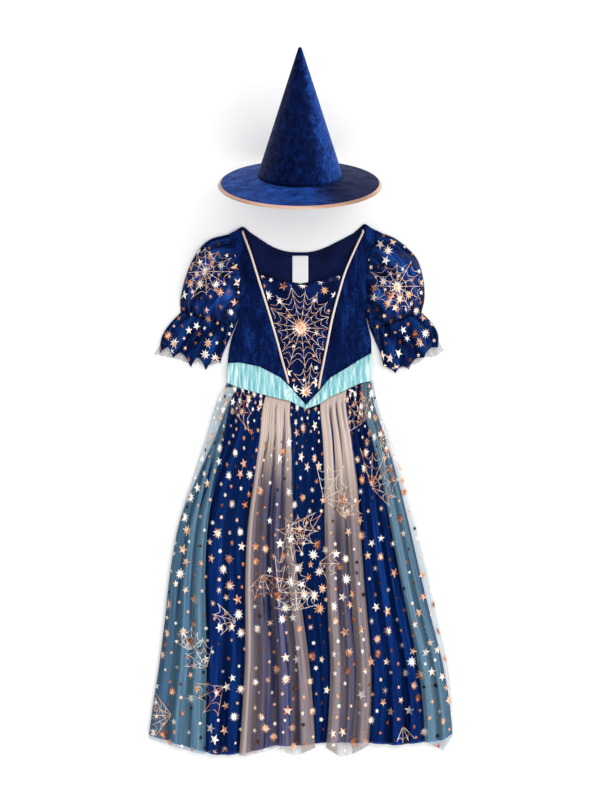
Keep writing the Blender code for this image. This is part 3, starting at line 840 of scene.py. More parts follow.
@dataclass
class Bodice:
    """The back, the velvet side fronts, the printed centre, the piping, the gathered band and the label."""

    outline: Outline
    back_top: tuple[tuple[float, float], ...] = (
        (-141, 275), (-122, 284), (-109, 291), (-94, 280), (-76, 266), (-57, 254), (-35, 246), (0, 242.5),
        (35, 245), (57, 252), (76, 262), (95, 274), (112, 288), (121, 296), (137, 288), (156, 279),
    )
    back_waist: float = -14.0
    shoulder: dict[Side, tuple[float, float]] = field(default_factory=lambda: {
        Side.LEFT: (275.0, 288.0), Side.RIGHT: (293.0, 279.0),
    })
    centre_top: float = 205.0
    centre_dip: float = 24.0
    tuck: float = 2.5
    piping_radius: float = 2.2
    piping_top: dict[Side, float] = field(default_factory=lambda: {Side.LEFT: 284.0, Side.RIGHT: 286.0})
    waist_point: float = 11.0
    band_rise: tuple[tuple[float, float], ...] = ((0.0, 2.3), (0.35, 6.3), (0.7, 6.6), (1.0, 6.3))
    label: tuple[float, float] = (30.0, 50.0)
    label_top: tuple[float, float] = (0.5, 236.0)

    def back(self) -> bpy.types.Object:
        """The flat jersey back, with the neck's hollow at its top."""
        xs = tuple(row[0] for row in self.back_top)
        top = Line(xs, tuple(row[1] for row in self.back_top))

        def place(u: Array, v: Array) -> Array:
            y = mix(top.read(mix(xs[0], xs[-1], u)), self.back_waist, v)
            return stack(self.outline.across(u, y), y, 1.2)

        def depth(u: Array, v: Array) -> Array:
            return v * (top.read(mix(xs[0], xs[-1], u)) - self.back_waist)

        piece = Cloth(
            "bodice_back_jersey", JERSEY, 90, 60, place, (297, 312), 1.2, depth=depth, held=Held.LAID, area=0.0717,
        ).build()
        return keep(piece, "navy_jersey", "bodice_back")

    def panel(
        self, name: str, finish: Finish, left: Course, right: Course, top: Course, seed: int, crease: float,
        cut: tuple[float, float, float],
    ) -> bpy.types.Object:
        """A front panel between two seams, from its top edge down to the band.

        Args:
            name: the piece's name.
            finish: its finish.
            left: its left seam, x for y.
            right: its right seam, x for y.
            top: y of its top edge, for shares across.
            seed: fixes its creases.
            crease: their height in millimetres.
            cut: its width and length in millimetres, and its area in square metres.

        Returns:
            The piece.
        """

        def place(u: Array, v: Array) -> Array:
            bottom = self.outline.meet(lambda y: mix(left(y), right(y), u), "top", u) - self.tuck
            y = mix(top(u), bottom, v)
            x = mix(left(y), right(y), u)
            soft = np.clip(uneven(u, v, seed, 1.6, 1.4), 0, None) * np.sin(math.pi * u) ** 0.5
            tight = ease(v * 8) * ease((1 - v) * 8)
            return stack(x, y, self.outline.bed(x, y) + 1.1 + crease * soft * tight)

        return Cloth(
            name, finish, 40, 90, place, cut[:2], 0.8, held=Held.LAID, area=cut[2], rests_on=("bodice_back",),
        ).build()

    def fronts(self) -> list[bpy.types.Object]:
        """The two velvet side fronts and the printed centre, clear of the piping."""
        beside = self.piping_radius + 0.6
        line = self.outline
        made = [
            keep(self.panel(
                "bodice_left_velvet", DRESS_VELVET,
                lambda y: line.edge(Side.LEFT, y), lambda y: line.seam(Side.LEFT, y) - beside,
                lambda u: mix(*self.shoulder[Side.LEFT], u), 11, 1.5, (110, 275, 0.0143),
            ), "velvet", "bodice_front_left"),
            keep(self.panel(
                "bodice_right_velvet", DRESS_VELVET,
                lambda y: line.seam(Side.RIGHT, y) + beside, lambda y: line.edge(Side.RIGHT, y),
                lambda u: mix(*self.shoulder[Side.RIGHT], u), 12, 1.9, (102, 290, 0.0151),
            ), "velvet", "bodice_front_right"),
            keep(self.panel(
                "bodice_centre_mesh", LINED_MESH,
                lambda y: line.seam(Side.LEFT, y) + beside, lambda y: line.seam(Side.RIGHT, y) - beside,
                lambda u: self.centre_top - self.centre_dip * (1 - np.abs(2 * u - 1) ** 1.5), 13, 0.5,
                (165, 250, 0.0213),
            ), "printed_mesh", "bodice_centre"),
        ]
        return made

    def piping(self, side: Side) -> bpy.types.Object:
        """The corded edge over one seam."""
        probe = np.zeros(1)
        bottom = float(self.outline.meet(lambda y: self.outline.seam(side, y), "top", probe)[0])
        top = self.piping_top[side]

        def place(u: Array, v: Array) -> Array:
            y = mix(top, bottom + 4, v)
            x = self.outline.seam(side, y)
            turn = 2 * math.pi * u
            closed = self.piping_radius * np.sqrt(np.clip(1 - (2 * v - 1) ** 80, 0.02, 1))
            lift = self.outline.bed(x, y) + self.piping_radius
            return stack(x + closed * np.cos(turn), y, lift + closed * np.sin(turn))

        piece = Cloth("piping_" + side.value + "_cord", PIPING_SATIN, 14, 110, place, (14, 320), 0.5, True)
        return keep(piece.build(), "rose_gold_satin", "piping_" + side.value)

    def band(self, side: Side) -> bpy.types.Object:
        """Half of the gathered satin band, from its side seam to the point at the middle."""
        line = self.outline
        ends = (line.waist[0].x, self.waist_point - 0.25)
        if side is Side.RIGHT:
            ends = (self.waist_point + 0.25, line.waist[-1].x)
        rise = Line(tuple(row[0] for row in self.band_rise), tuple(row[1] for row in self.band_rise))

        def place(u: Array, v: Array) -> Array:
            x = mix(ends[0], ends[1], u)
            y = mix(line.waist_edge("top", x), line.waist_edge("bottom", x), v)
            lean = x + 9 * (v - 0.5) * uneven(u, v, 5, 1.5, 0.0)
            fine = uneven(lean / 140, v, 21 + len(side.value), 17.0, 0.7, 8)
            gather = 1.1 + 1.0 * fine * (0.5 + 0.5 * np.abs(2 * v - 1))
            return stack(x, y, line.bed(x, y) + rise.read(v) + 1.1 + np.clip(gather, 0, 2.8))

        cut, area = ((165, 50), 0.0064) if side is Side.LEFT else ((130, 52), 0.0049)
        piece = Cloth(
            "waistband_" + side.value + "_satin", AQUA_SATIN, 170, 20, place, cut, 0.8, held=Held.GATHERED,
            area=area, rests_on=("bodice_front_" + side.value, "skirt_front"),
        ).build()
        return keep(piece, "aqua_satin", "waistband_" + side.value)

    def care_label(self) -> bpy.types.Object:
        """The blank label, sewn at its top, its free end a little up."""

        def place(u: Array, v: Array) -> Array:
            x = self.label_top[0] + self.label[0] * (u - 0.5)
            y = self.label_top[1] - self.label[1] * v - 3.0 * v ** 6 * (1 - np.abs(2 * u - 1))
            return stack(x, y, 2.3 + 2.0 * v * v + 0.4 * np.sin(3 * u + 4 * v) * v)

        piece = Cloth(
            "care_label_tape", LABEL_TAPE, 12, 20, place, (30, 53), 0.4, held=Held.LAID, area=0.0015,
            rests_on=("bodice_back",),
        ).build()
        return keep(piece, "label_tape", "care_label")


@dataclass
class Skirt:
    """The plain back, the satin front, the sheer printed mesh over it, and four tulle panels on top."""

    outline: Outline
    folds: tuple[FoldRow, ...] = (
        FoldRow("aqua_left", 0.000, 0.000, 7),
        FoldRow("aqua_left", 0.030, 0.065, 13),
        FoldRow("aqua_left", 0.058, 0.130, 9),
        FoldRow("none", 0.086, 0.193, 14),
        FoldRow("none", 0.190, 0.250, 8),
        FoldRow("pink_left", 0.300, 0.302, 12),
        FoldRow("pink_left", 0.342, 0.345, 8),
        FoldRow("pink_left", 0.385, 0.420, 16),
        FoldRow("pink_left", 0.430, 0.490, 9),
        FoldRow("none", 0.469, 0.548, 5),
        FoldRow("none", 0.540, 0.567, 4),
        FoldRow("pink_right", 0.660, 0.585, 11),
        FoldRow("pink_right", 0.720, 0.640, 8),
        FoldRow("pink_right", 0.770, 0.680, 13),
        FoldRow("none", 0.827, 0.724, 10),
        FoldRow("none", 0.860, 0.785, 15),
        FoldRow("none", 0.895, 0.850, 9),
        FoldRow("aqua_right", 0.926, 0.907, 12),
        FoldRow("aqua_right", 0.965, 0.955, 7),
        FoldRow("end", 1.0, 1.0, 0),
    )
    fold_shape: tuple[tuple[float, float], ...] = ((0.0, 0.0), (0.3, 1.0), (0.66, 0.8))
    hem: tuple[HemRow, ...] = (
        HemRow(0.00, -674, -679), HemRow(0.05, -682, -689), HemRow(0.14, -698, -704),
        HemRow(0.24, -711, -716), HemRow(0.35, -704, -710), HemRow(0.42, -694, -698),
        HemRow(0.485, -694, -715), HemRow(0.57, -689, -692), HemRow(0.63, -688, -716),
        HemRow(0.67, -688, -711), HemRow(0.73, -689, -691), HemRow(0.80, -692, -694),
        HemRow(0.92, -686, -688), HemRow(0.965, -683, -704), HemRow(1.00, -672, -676),
    )
    waist_crest: float = 2.4
    tuck: float = 1.5
    print_short: float = 3.0
    net_longer: float = 3.0
    flare: float = 16.0
    set_back: float = 24.0
    layer: float = 1.8
    tulle_cut: dict[str, tuple[float, float]] = field(default_factory=lambda: {
        "aqua_left": (110, 0.0568), "pink_left": (150, 0.0841),
        "pink_right": (115, 0.0592), "aqua_right": (85, 0.0420),
    })

    def columns(self) -> tuple[Array, Array, Array]:
        """The folds' columns: shares at the waist, shares at the hem, and crests."""
        waist, hem, crest = [], [], []
        for fold, after in zip(self.folds, self.folds[1:]):
            for part, height in self.fold_shape:
                waist.append(mix(fold.waist, after.waist, part))
                hem.append(mix(fold.hem, after.hem, part))
                crest.append(fold.crest * height)
        return np.array(waist + [1.0]), np.array(hem + [1.0]), np.array(crest + [0.0])

    def span(self, panel: str) -> tuple[int, int]:
        """The first and last column of a panel, or of the whole front."""
        step = len(self.fold_shape)
        if panel == "all":
            return 0, step * (len(self.folds) - 1)
        inside = [k for k, fold in enumerate(self.folds) if fold.panel == panel]
        return inside[0] * step, (inside[-1] + 1) * step

    def point(self, at: Array, share: Array, layer: int, netted: bool = False) -> Array:
        """A point of one layer.

        Args:
            at: its column, which may lie between two.
            share: its share of the way from the waist to the layer's hem.
            layer: 0 satin, 1 print, 2 tulle.
            netted: True for the long pointed hem.

        Returns:
            The points.
        """
        waist, hem, crest = self.columns()
        low = np.clip(np.floor(at).astype(int), 0, len(waist) - 2)
        part = at - low
        from_waist = mix(waist[low], waist[low + 1], part)
        to_hem = mix(hem[low], hem[low + 1], part)
        high = mix(crest[low], crest[low + 1], ease(part))
        line = self.outline
        top = line.meet(lambda y: line.across(from_waist, y), "bottom", at) + self.tuck
        satin = Line.of(self.hem, "share", "satin").read(to_hem)
        short = satin + (self.print_short if layer else 0.0)
        end = short
        if netted:
            net = Line.of(self.hem, "share", "net", pointed=True).read(to_hem)
            end = np.minimum(short - self.net_longer, net)
        y = mix(top, end, share)
        down = np.clip((top - y) / (top - satin), 0.0, 1.0)
        across = mix(from_waist, to_hem, down)
        x = line.across(across, y)
        if layer < 2:
            x += self.bare_side(y) * (1 - across)
        height = high * mix(self.waist_crest / 12, 1.0, ease(down * 1.15)) * np.clip(down / 0.05, 0, 1)
        fine = uneven(at / 3, down, 31, 2.3, 0.6, 7) * ease(down * 25) * (0.9 * (1 - ease(down * 2.6)) + 0.35)
        long = np.clip(uneven(at / 3, down, 32, 0.9, 1.6, 6), 0, None) * ease(down * 3) * 1.3
        z = line.bed(x, y) + 1.1 + height + fine + long + layer * self.layer
        if netted:
            past = ease((short - y) / 22)
            z = mix(z, np.minimum(z, 3.0), past)
        return stack(x, y, z)

    def bare_side(self, y: Array) -> Array:
        """How far the satin stands back from the left outline, where the tulle hangs alone."""
        return self.set_back * (1 - ease((-y - 20) / 270))

    def back(self) -> bpy.types.Object:
        """The plain satin back, flat on the surface."""
        satin = Line.of(self.hem, "share", "satin")

        def place(u: Array, v: Array) -> Array:
            y = mix(-14.5, satin.read(u) + 4, v)
            return stack(self.outline.across(u, y) + self.bare_side(y) * (1 - u), y, 1.2)

        piece = Cloth(
            "skirt_back_satin", NAVY_SATIN, 80, 70, place, (586, 702), 1.2, held=Held.LAID, area=0.304,
        ).build()
        return keep(piece, "navy_satin", "skirt_back")

    def front(self, layer: int) -> bpy.types.Object:
        """The satin front, or the sheer printed mesh over it."""
        last = self.span("all")[1]

        def place(u: Array, v: Array) -> Array:
            return self.point(u * last, v, layer)

        name, finish, node, slot, wall, below = (
            ("skirt_front_satin", NAVY_SATIN, "skirt_front", "navy_satin", 0.8, "skirt_back"),
            ("skirt_print_mesh", SHEER_MESH, "skirt_print", "printed_mesh", 0.4, "skirt_front"),
        )[layer]
        piece = Cloth(
            name, finish, last * 4, 110, place, (720, 700), wall, held=Held.GATHERED, area=0.373,
            rests_on=(below,),
        ).build()
        return keep(piece, slot, node)

    def tulle(self, panel: str, finish: Finish) -> bpy.types.Object:
        """One tulle panel with its pointed hem. The right-hand aqua one stands past the side seam."""
        first, last = self.span(panel)
        flared = panel == "aqua_right"
        wide = last - first + (1 if flared else 0)

        def place(u: Array, v: Array) -> Array:
            at = first + u * wide
            spot = self.point(np.minimum(at, last), v, 2, netted=True)
            past = np.clip(at - last, 0.0, 1.0)
            bulge = self.flare * np.sin(math.pi * np.minimum(1.0, 0.08 + v * 0.9))
            spot[:, 0] += past * bulge
            spot[:, 2] -= past * 2.5
            return spot

        name = panel.split("_")[0] + "_tulle_" + panel.split("_")[1]
        width, area = self.tulle_cut[panel]
        piece = Cloth(
            name, finish, wide * 4, 130, place, (width, 715), 0.3, held=Held.GATHERED, area=area,
            rests_on=("skirt_print",),
        ).build()
        return keep(piece, panel.split("_")[0] + "_net", "tulle_" + panel)


@dataclass
class Sleeve:
    """A puff sleeve, its cuff's pointed frill and the sheer layer inside that."""

    outline: Outline
    side: Side
    outer: tuple[EdgeRow, ...] = (
        EdgeRow(-141.5, 276, 156.5, 279),
        EdgeRow(-171, 268, 180.5, 270),
        EdgeRow(-191, 252, 204, 252),
        EdgeRow(-209, 222, 224, 229),
        EdgeRow(-221, 187, 234.5, 194),
        EdgeRow(-228, 152, 237, 158),
        EdgeRow(-226, 129, 230, 129),
    )
    cuff: tuple[EdgeRow, ...] = (
        EdgeRow(-226, 129, 230, 129),
        EdgeRow(-190, 118, 199, 117),
        EdgeRow(-161, 110, 171, 106),
        EdgeRow(-122, 104, 132, 99),
    )
    frill_hem: tuple[EdgeRow, ...] = (
        EdgeRow(-266, 50, 262, 62),
        EdgeRow(-250, 63, 249, 62),
        EdgeRow(-241, 40, 236, 43),
        EdgeRow(-226, 53, 221, 42),
        EdgeRow(-207, 21, 206, 19),
        EdgeRow(-194, 45, 194, 27),
        EdgeRow(-179, 17, 181, 12),
        EdgeRow(-163, 38, 169, 23),
        EdgeRow(-151, 31, 158, 28),
        EdgeRow(-143, 57, 151, 54),
    )
    armpit: float = 126.0
    puff: tuple[tuple[float, float], ...] = (
        (0.0, 1.0), (0.06, 8.0), (0.14, 16.0), (0.3, 25.0), (0.55, 31.0), (0.8, 25.0), (0.93, 13.0), (1.0, 4.0),
    )
    front_share: float = 0.76
    frill_bow: float = 13.0

    def trace(self, rows: tuple[EdgeRow, ...], share: Array, pointed: bool = False) -> Array:
        """Points of an edge in plan, at shares of its table's rows."""
        places = tuple(range(len(rows)))
        at = np.asarray(share) * (len(rows) - 1)
        parts = [
            Line(places, tuple(getattr(row, self.side.value + "_" + axis) for row in rows), pointed).read(at)
            for axis in ("x", "y")
        ]
        return np.stack(parts, axis=-1)

    def armhole(self, share: Array) -> Array:
        """Points of the seam with the bodice, from the shoulder to the armpit."""
        y = mix(getattr(self.outer[0], self.side.value + "_y"), self.armpit, np.asarray(share, float))
        x = self.outline.edge(self.side, y) - self.side.outward * 1.2
        return np.stack([x, y], axis=-1)

    def plan(self, u: Array, v: Array) -> Array:
        """A point of the sleeve in plan: u from armhole to cuff, v from the outer edge to the armpit."""
        a, b = u[:, None], v[:, None]
        one = np.ones_like(u)
        inner = mix(self.armhole(one), self.trace(self.cuff, one), a)
        corners = (
            (1 - a) * (1 - b) * self.trace(self.outer, one * 0) + a * (1 - b) * self.trace(self.cuff, one * 0)
            + (1 - a) * b * self.armhole(one) + a * b * self.trace(self.cuff, one)
        )
        sides = (1 - b) * self.trace(self.outer, u) + b * inner
        return sides + (1 - a) * self.armhole(v) + a * self.trace(self.cuff, v) - corners

    def loop(self, turn: Array) -> tuple[Array, Array]:
        """Splits a turn round a flattened tube into a share across and the face, 1 front or 0 back."""
        front = turn < self.front_share
        ahead = np.clip(turn / self.front_share, 0, 1)
        behind = np.clip((turn - self.front_share) / (1 - self.front_share), 0, 1)
        across = np.where(front, (1 - np.cos(math.pi * ahead)) / 2, (1 + np.cos(math.pi * behind)) / 2)
        return across, front.astype(float)

    def puffed(self) -> bpy.types.Object:
        """The puff, gathered into the armhole and the cuff, flat underneath."""
        loft = Line(tuple(row[0] for row in self.puff), tuple(row[1] for row in self.puff))
        seed = 41 if self.side is Side.LEFT else 42

        def place(u: Array, v: Array) -> Array:
            across, front = self.loop(u)
            spot = self.plan(v, across)
            arch = np.sin(math.pi * across)
            edge = np.sqrt(np.clip(arch / 0.15, 0, 1))
            gathers = uneven(across, v, seed, 12.0, 0.6, 8) * (ease(1 - v * 3.0) * 1.6 + ease(v * 3.2 - 2.2) * 2.4)
            folds = np.abs(uneven(across, v, seed + 5, 2.6, 1.6, 4)) * np.sin(math.pi * v) ** 0.7 * 5.0
            top = 2.4 + 1.6 * edge + loft.read(v) * arch ** 0.75 + (gathers + folds - 2.4) * edge * ease(v * 9)
            return np.column_stack([spot, np.where(front > 0, top, 2.4 - 2.2 * edge)])

        name = "sleeve_" + self.side.value
        piece = Cloth(
            name + "_mesh", SLEEVE_MESH, 150, 70, place, (300, 155), 0.8, True, held=Held.GATHERED, area=0.035,
        ).build()
        return keep(piece, "printed_mesh", name)

    def scallop(self, v: Array) -> Array:
        """Y of the frill's hem: narrow points with hollows between them."""
        at = v * (len(self.frill_hem) - 1)
        low = np.clip(np.floor(at).astype(int), 0, len(self.frill_hem) - 2)
        part = at - low
        ys = np.array([getattr(row, self.side.value + "_y") for row in self.frill_hem], float)
        shaped = np.where(low % 2 == 0, part ** 0.6, 1 - (1 - part) ** 0.6)
        return mix(ys[low], ys[low + 1], shaped)

    def frill_plan(self, u: Array, v: Array, spread: float = 1.0) -> Array:
        """A point of the frill in plan: u goes from the cuff to the hem, v from the outer edge in."""
        start = self.trace(self.cuff, v) + np.array([0.0, -0.4])
        end = self.trace(self.frill_hem, v, pointed=True)
        end[:, 1] = self.scallop(v)
        bow = self.side.outward * self.frill_bow * np.sin(math.pi * u) * np.clip(1 - 2.5 * v, 0, None) ** 2
        return start + (end - start) * (u * spread)[:, None] + np.stack([bow, bow * 0], axis=-1)

    def frill(self) -> bpy.types.Object:
        """The cuff's ruffle with its pointed hem."""
        seed = 51 if self.side is Side.LEFT else 52

        def place(u: Array, v: Array) -> Array:
            across, front = self.loop(u)
            spot = self.frill_plan(v, across)
            arch = np.sin(math.pi * across)
            edge = np.sqrt(np.clip(arch / 0.15, 0, 1))
            wave = (0.5 + 0.5 * np.cos(2 * math.pi * across * 4.5)) * mix(1.0, 5.0, v)
            small = uneven(across, v, seed, 12.0, 0.6, 7) * mix(1.3, 0.8, v)
            top = 2.4 + 1.6 * edge + (2.5 * arch + wave + small + 0.6) * edge
            return np.column_stack([spot, np.where(front > 0, np.clip(top, 1.5, None), 2.4 - 2.2 * edge)])

        name = "frill_" + self.side.value
        piece = Cloth(
            name + "_mesh", SLEEVE_MESH, 144, 26, place, (290, 95), 0.6, True, held=Held.GATHERED, area=0.0198,
        ).build()
        return keep(piece, "printed_mesh", name)

    def frill_net(self) -> bpy.types.Object:
        """The sheer layer inside the frill, a little longer than it."""

        def place(u: Array, v: Array) -> Array:
            across = mix(0.0, 0.92, u)
            start = self.trace(self.cuff, across)
            end = self.trace(self.frill_hem, across, pointed=True)
            end[:, 1] = mix(end[:, 1], 40.0, 0.35) - 4.0 - 5.0 * np.cos(2 * math.pi * (across * 4.5 + 0.5))
            end[:, 0] += self.side.outward * 12.0 * (1 - across) ** 5
            spot = start + (end - start) * mix(0.12, 1.0, v)[:, None]
            return np.column_stack([spot, 1.9 + 0.5 * np.sin(u * 30) * v])

        name = "frill_net_" + self.side.value
        piece = Cloth(
            name + "_tulle", GREY_NET, 72, 18, place, (150, 95), 0.3, held=Held.GATHERED, area=0.0084,
        ).build()
        return keep(piece, "grey_net", name)


@dataclass
class Hat:
    """The pointed velvet crown, the sloping brim and the satin binding round its edge."""

    lean: float = math.radians(20.8)
    centre: tuple[float, float, float] = (0.0, 377.7, 148.714)
    crown_radius: float = 78.6
    crown_height: float = 243.0
    crown_wall: float = 2.2
    tip_radius: float = 4.0
    brim_slope: float = math.radians(11.5)
    brim_wall: float = 2.5
    velvet_radius: float = 146.6
    lip: tuple[tuple[float, float], ...] = (
        (146.2, 1.0), (147.2, 0.9), (148.4, 0.55), (149.6, 0.0), (150.8, -0.7), (151.9, -1.5), (152.7, -2.3),
        (152.9, -2.9), (152.3, -3.3), (150.5, -3.2), (147.0, -2.95), (144.0, -2.85), (144.0, -1.5), (146.7, -1.5),
    )
    steps: int = 128

    def on_brim(self, r: float, lift: float) -> tuple[float, float]:
        """A point along the brim's slope, `lift` above the middle of its thickness."""
        down = (r - self.crown_radius) * math.tan(self.brim_slope)
        side = math.sin(self.brim_slope)
        return r + lift * side, -down - self.brim_wall / 2 + lift * math.cos(self.brim_slope)

    def turned(self, name: str, finish: Finish, profile: list[tuple[float, float]], slack: float) -> bpy.types.Object:
        """Spins a closed profile round the hat's axis, slackens it a little, and leans it into place.

        Args:
            name: the piece's name.
            finish: its finish.
            profile: points of radius and height in millimetres.
            slack: how far its cloth wanders, in millimetres.

        Returns:
            The piece.
        """
        bm = bmesh.new()
        chart = bm.loops.layers.uv.new("cloth")
        facing = bm.verts.layers.float.new("facing")
        verts = [bm.verts.new((r, 0.0, a)) for r, a in profile]
        edges = [bm.edges.new((verts[k], verts[(k + 1) % len(verts)])) for k in range(len(verts))]
        bmesh.ops.spin(
            bm, geom=verts + edges, cent=(0, 0, 0), axis=(0, 0, 1), angle=2 * math.pi, steps=self.steps,
            use_merge=True,
        )
        bmesh.ops.remove_doubles(bm, verts=bm.verts[:], dist=0.001)
        bmesh.ops.recalc_face_normals(bm, faces=bm.faces[:])
        for face in bm.faces:
            for loop in face.loops:
                spot = loop.vert.co
                turn = math.atan2(spot.y, spot.x) / (2 * math.pi)
                loop[chart].uv = (spot.xy.length * MM, turn * 0.95)
        spots = np.array([vert.co for vert in bm.verts])
        turn = np.arctan2(spots[:, 1], spots[:, 0]) / (2 * math.pi)
        wander = uneven(turn * 3, spots[:, 2] / 240, 61, 1.0, 2.0, 6)
        wander = wander * np.sin(math.pi * np.abs(turn * 2)) ** 2
        radius = np.hypot(spots[:, 0], spots[:, 1])
        pull = 1 - slack * np.clip(wander, -0.2, 1.4) / np.maximum(radius, 20)
        for vert, scale in zip(bm.verts, pull):
            # Which way each point faces round the axis; the velvet paints light and shade by it, one side lighter
            # than the other.
            vert[facing] = vert.co.x / max(vert.co.xy.length, 0.001)
            vert.co.x *= scale
            vert.co.y *= scale
        matrix = Matrix.Translation(Vector(self.centre)) @ Euler((self.lean - math.pi / 2, 0, 0)).to_matrix().to_4x4()
        bmesh.ops.transform(bm, matrix=Matrix.Scale(MM, 4) @ matrix, verts=bm.verts[:])
        mesh = bpy.data.meshes.new(name)
        bm.to_mesh(mesh)
        bm.free()
        return link(mesh, name, finish)

    def crown(self) -> bpy.types.Object:
        """The cone, open at its base, with a rounded tip."""
        slant = math.atan2(self.crown_radius - self.tip_radius, self.crown_height)
        rings = 36
        top = self.crown_height - self.tip_radius
        outer = [
            (mix(self.crown_radius, self.tip_radius, k / rings), mix(0.5, top, k / rings))
            for k in range(rings + 1)
        ]
        outer += [
            (self.tip_radius * math.cos(turn), top + self.tip_radius * math.sin(turn))
            for turn in (0.35, 0.7, 1.05, 1.35)
        ]
        outer += [(0.0, self.crown_height)]
        inset = self.crown_wall / math.cos(slant)
        inner = [(r - inset, a) for r, a in outer[:rings - 2:4]]
        inner_tip = top - (self.crown_wall + 2) / math.sin(slant)
        piece = self.turned("hat_crown_velvet", HAT_VELVET, outer + [(0.0, inner_tip)] + inner[::-1], 1.4)
        return keep(piece, "velvet", "hat_crown")

    def brim(self) -> bpy.types.Object:
        """The sloping ring."""
        hole = self.crown_radius - 2.4
        half = self.brim_wall / 2
        rings = [mix(hole, self.velvet_radius, k / 14) for k in range(15)]
        profile = [self.on_brim(r, half) for r in rings] + [self.on_brim(r, -half) for r in rings[::-1]]
        return keep(self.turned("hat_brim_velvet", BRIM_VELVET, profile, 0.3), "velvet", "hat_brim")

    def binding(self) -> bpy.types.Object:
        """The satin tape rolled over the brim's edge."""
        profile = [self.on_brim(r, lift) for r, lift in self.lip]
        piece = self.turned("hat_binding_satin", BINDING_SATIN, profile, 0.0)
        return keep(piece, "rose_gold_satin", "hat_binding")


@dataclass(frozen=True)
class Motif:
    """One sort of star that the print strews.

    Attributes:
        upto: where its share of the draws ends.
        radius: its least and greatest radius in millimetres.
        points: how many points it has, or 0 for a drawn number.
        depth: the radius of its notches, as a share of its own.
        tone: a fixed tone, or None for a drawn one.
    """

    upto: float
    radius: tuple[float, float]
    points: int
    depth: float
    tone: float | None = None


BURST_POINTS = (8, 11)
MOTIFS = (
    Motif(0.42, (3.6, 5.4), 5, 0.45),
    Motif(0.62, (7.0, 11.0), 5, 0.4),
    Motif(0.7, (6.0, 8.0), 6, 0.24),
    Motif(0.88, (9.5, 14.0), 0, 0.36),
    Motif(1.0, (3.6, 5.0), 8, 0.7, 0.02),
)


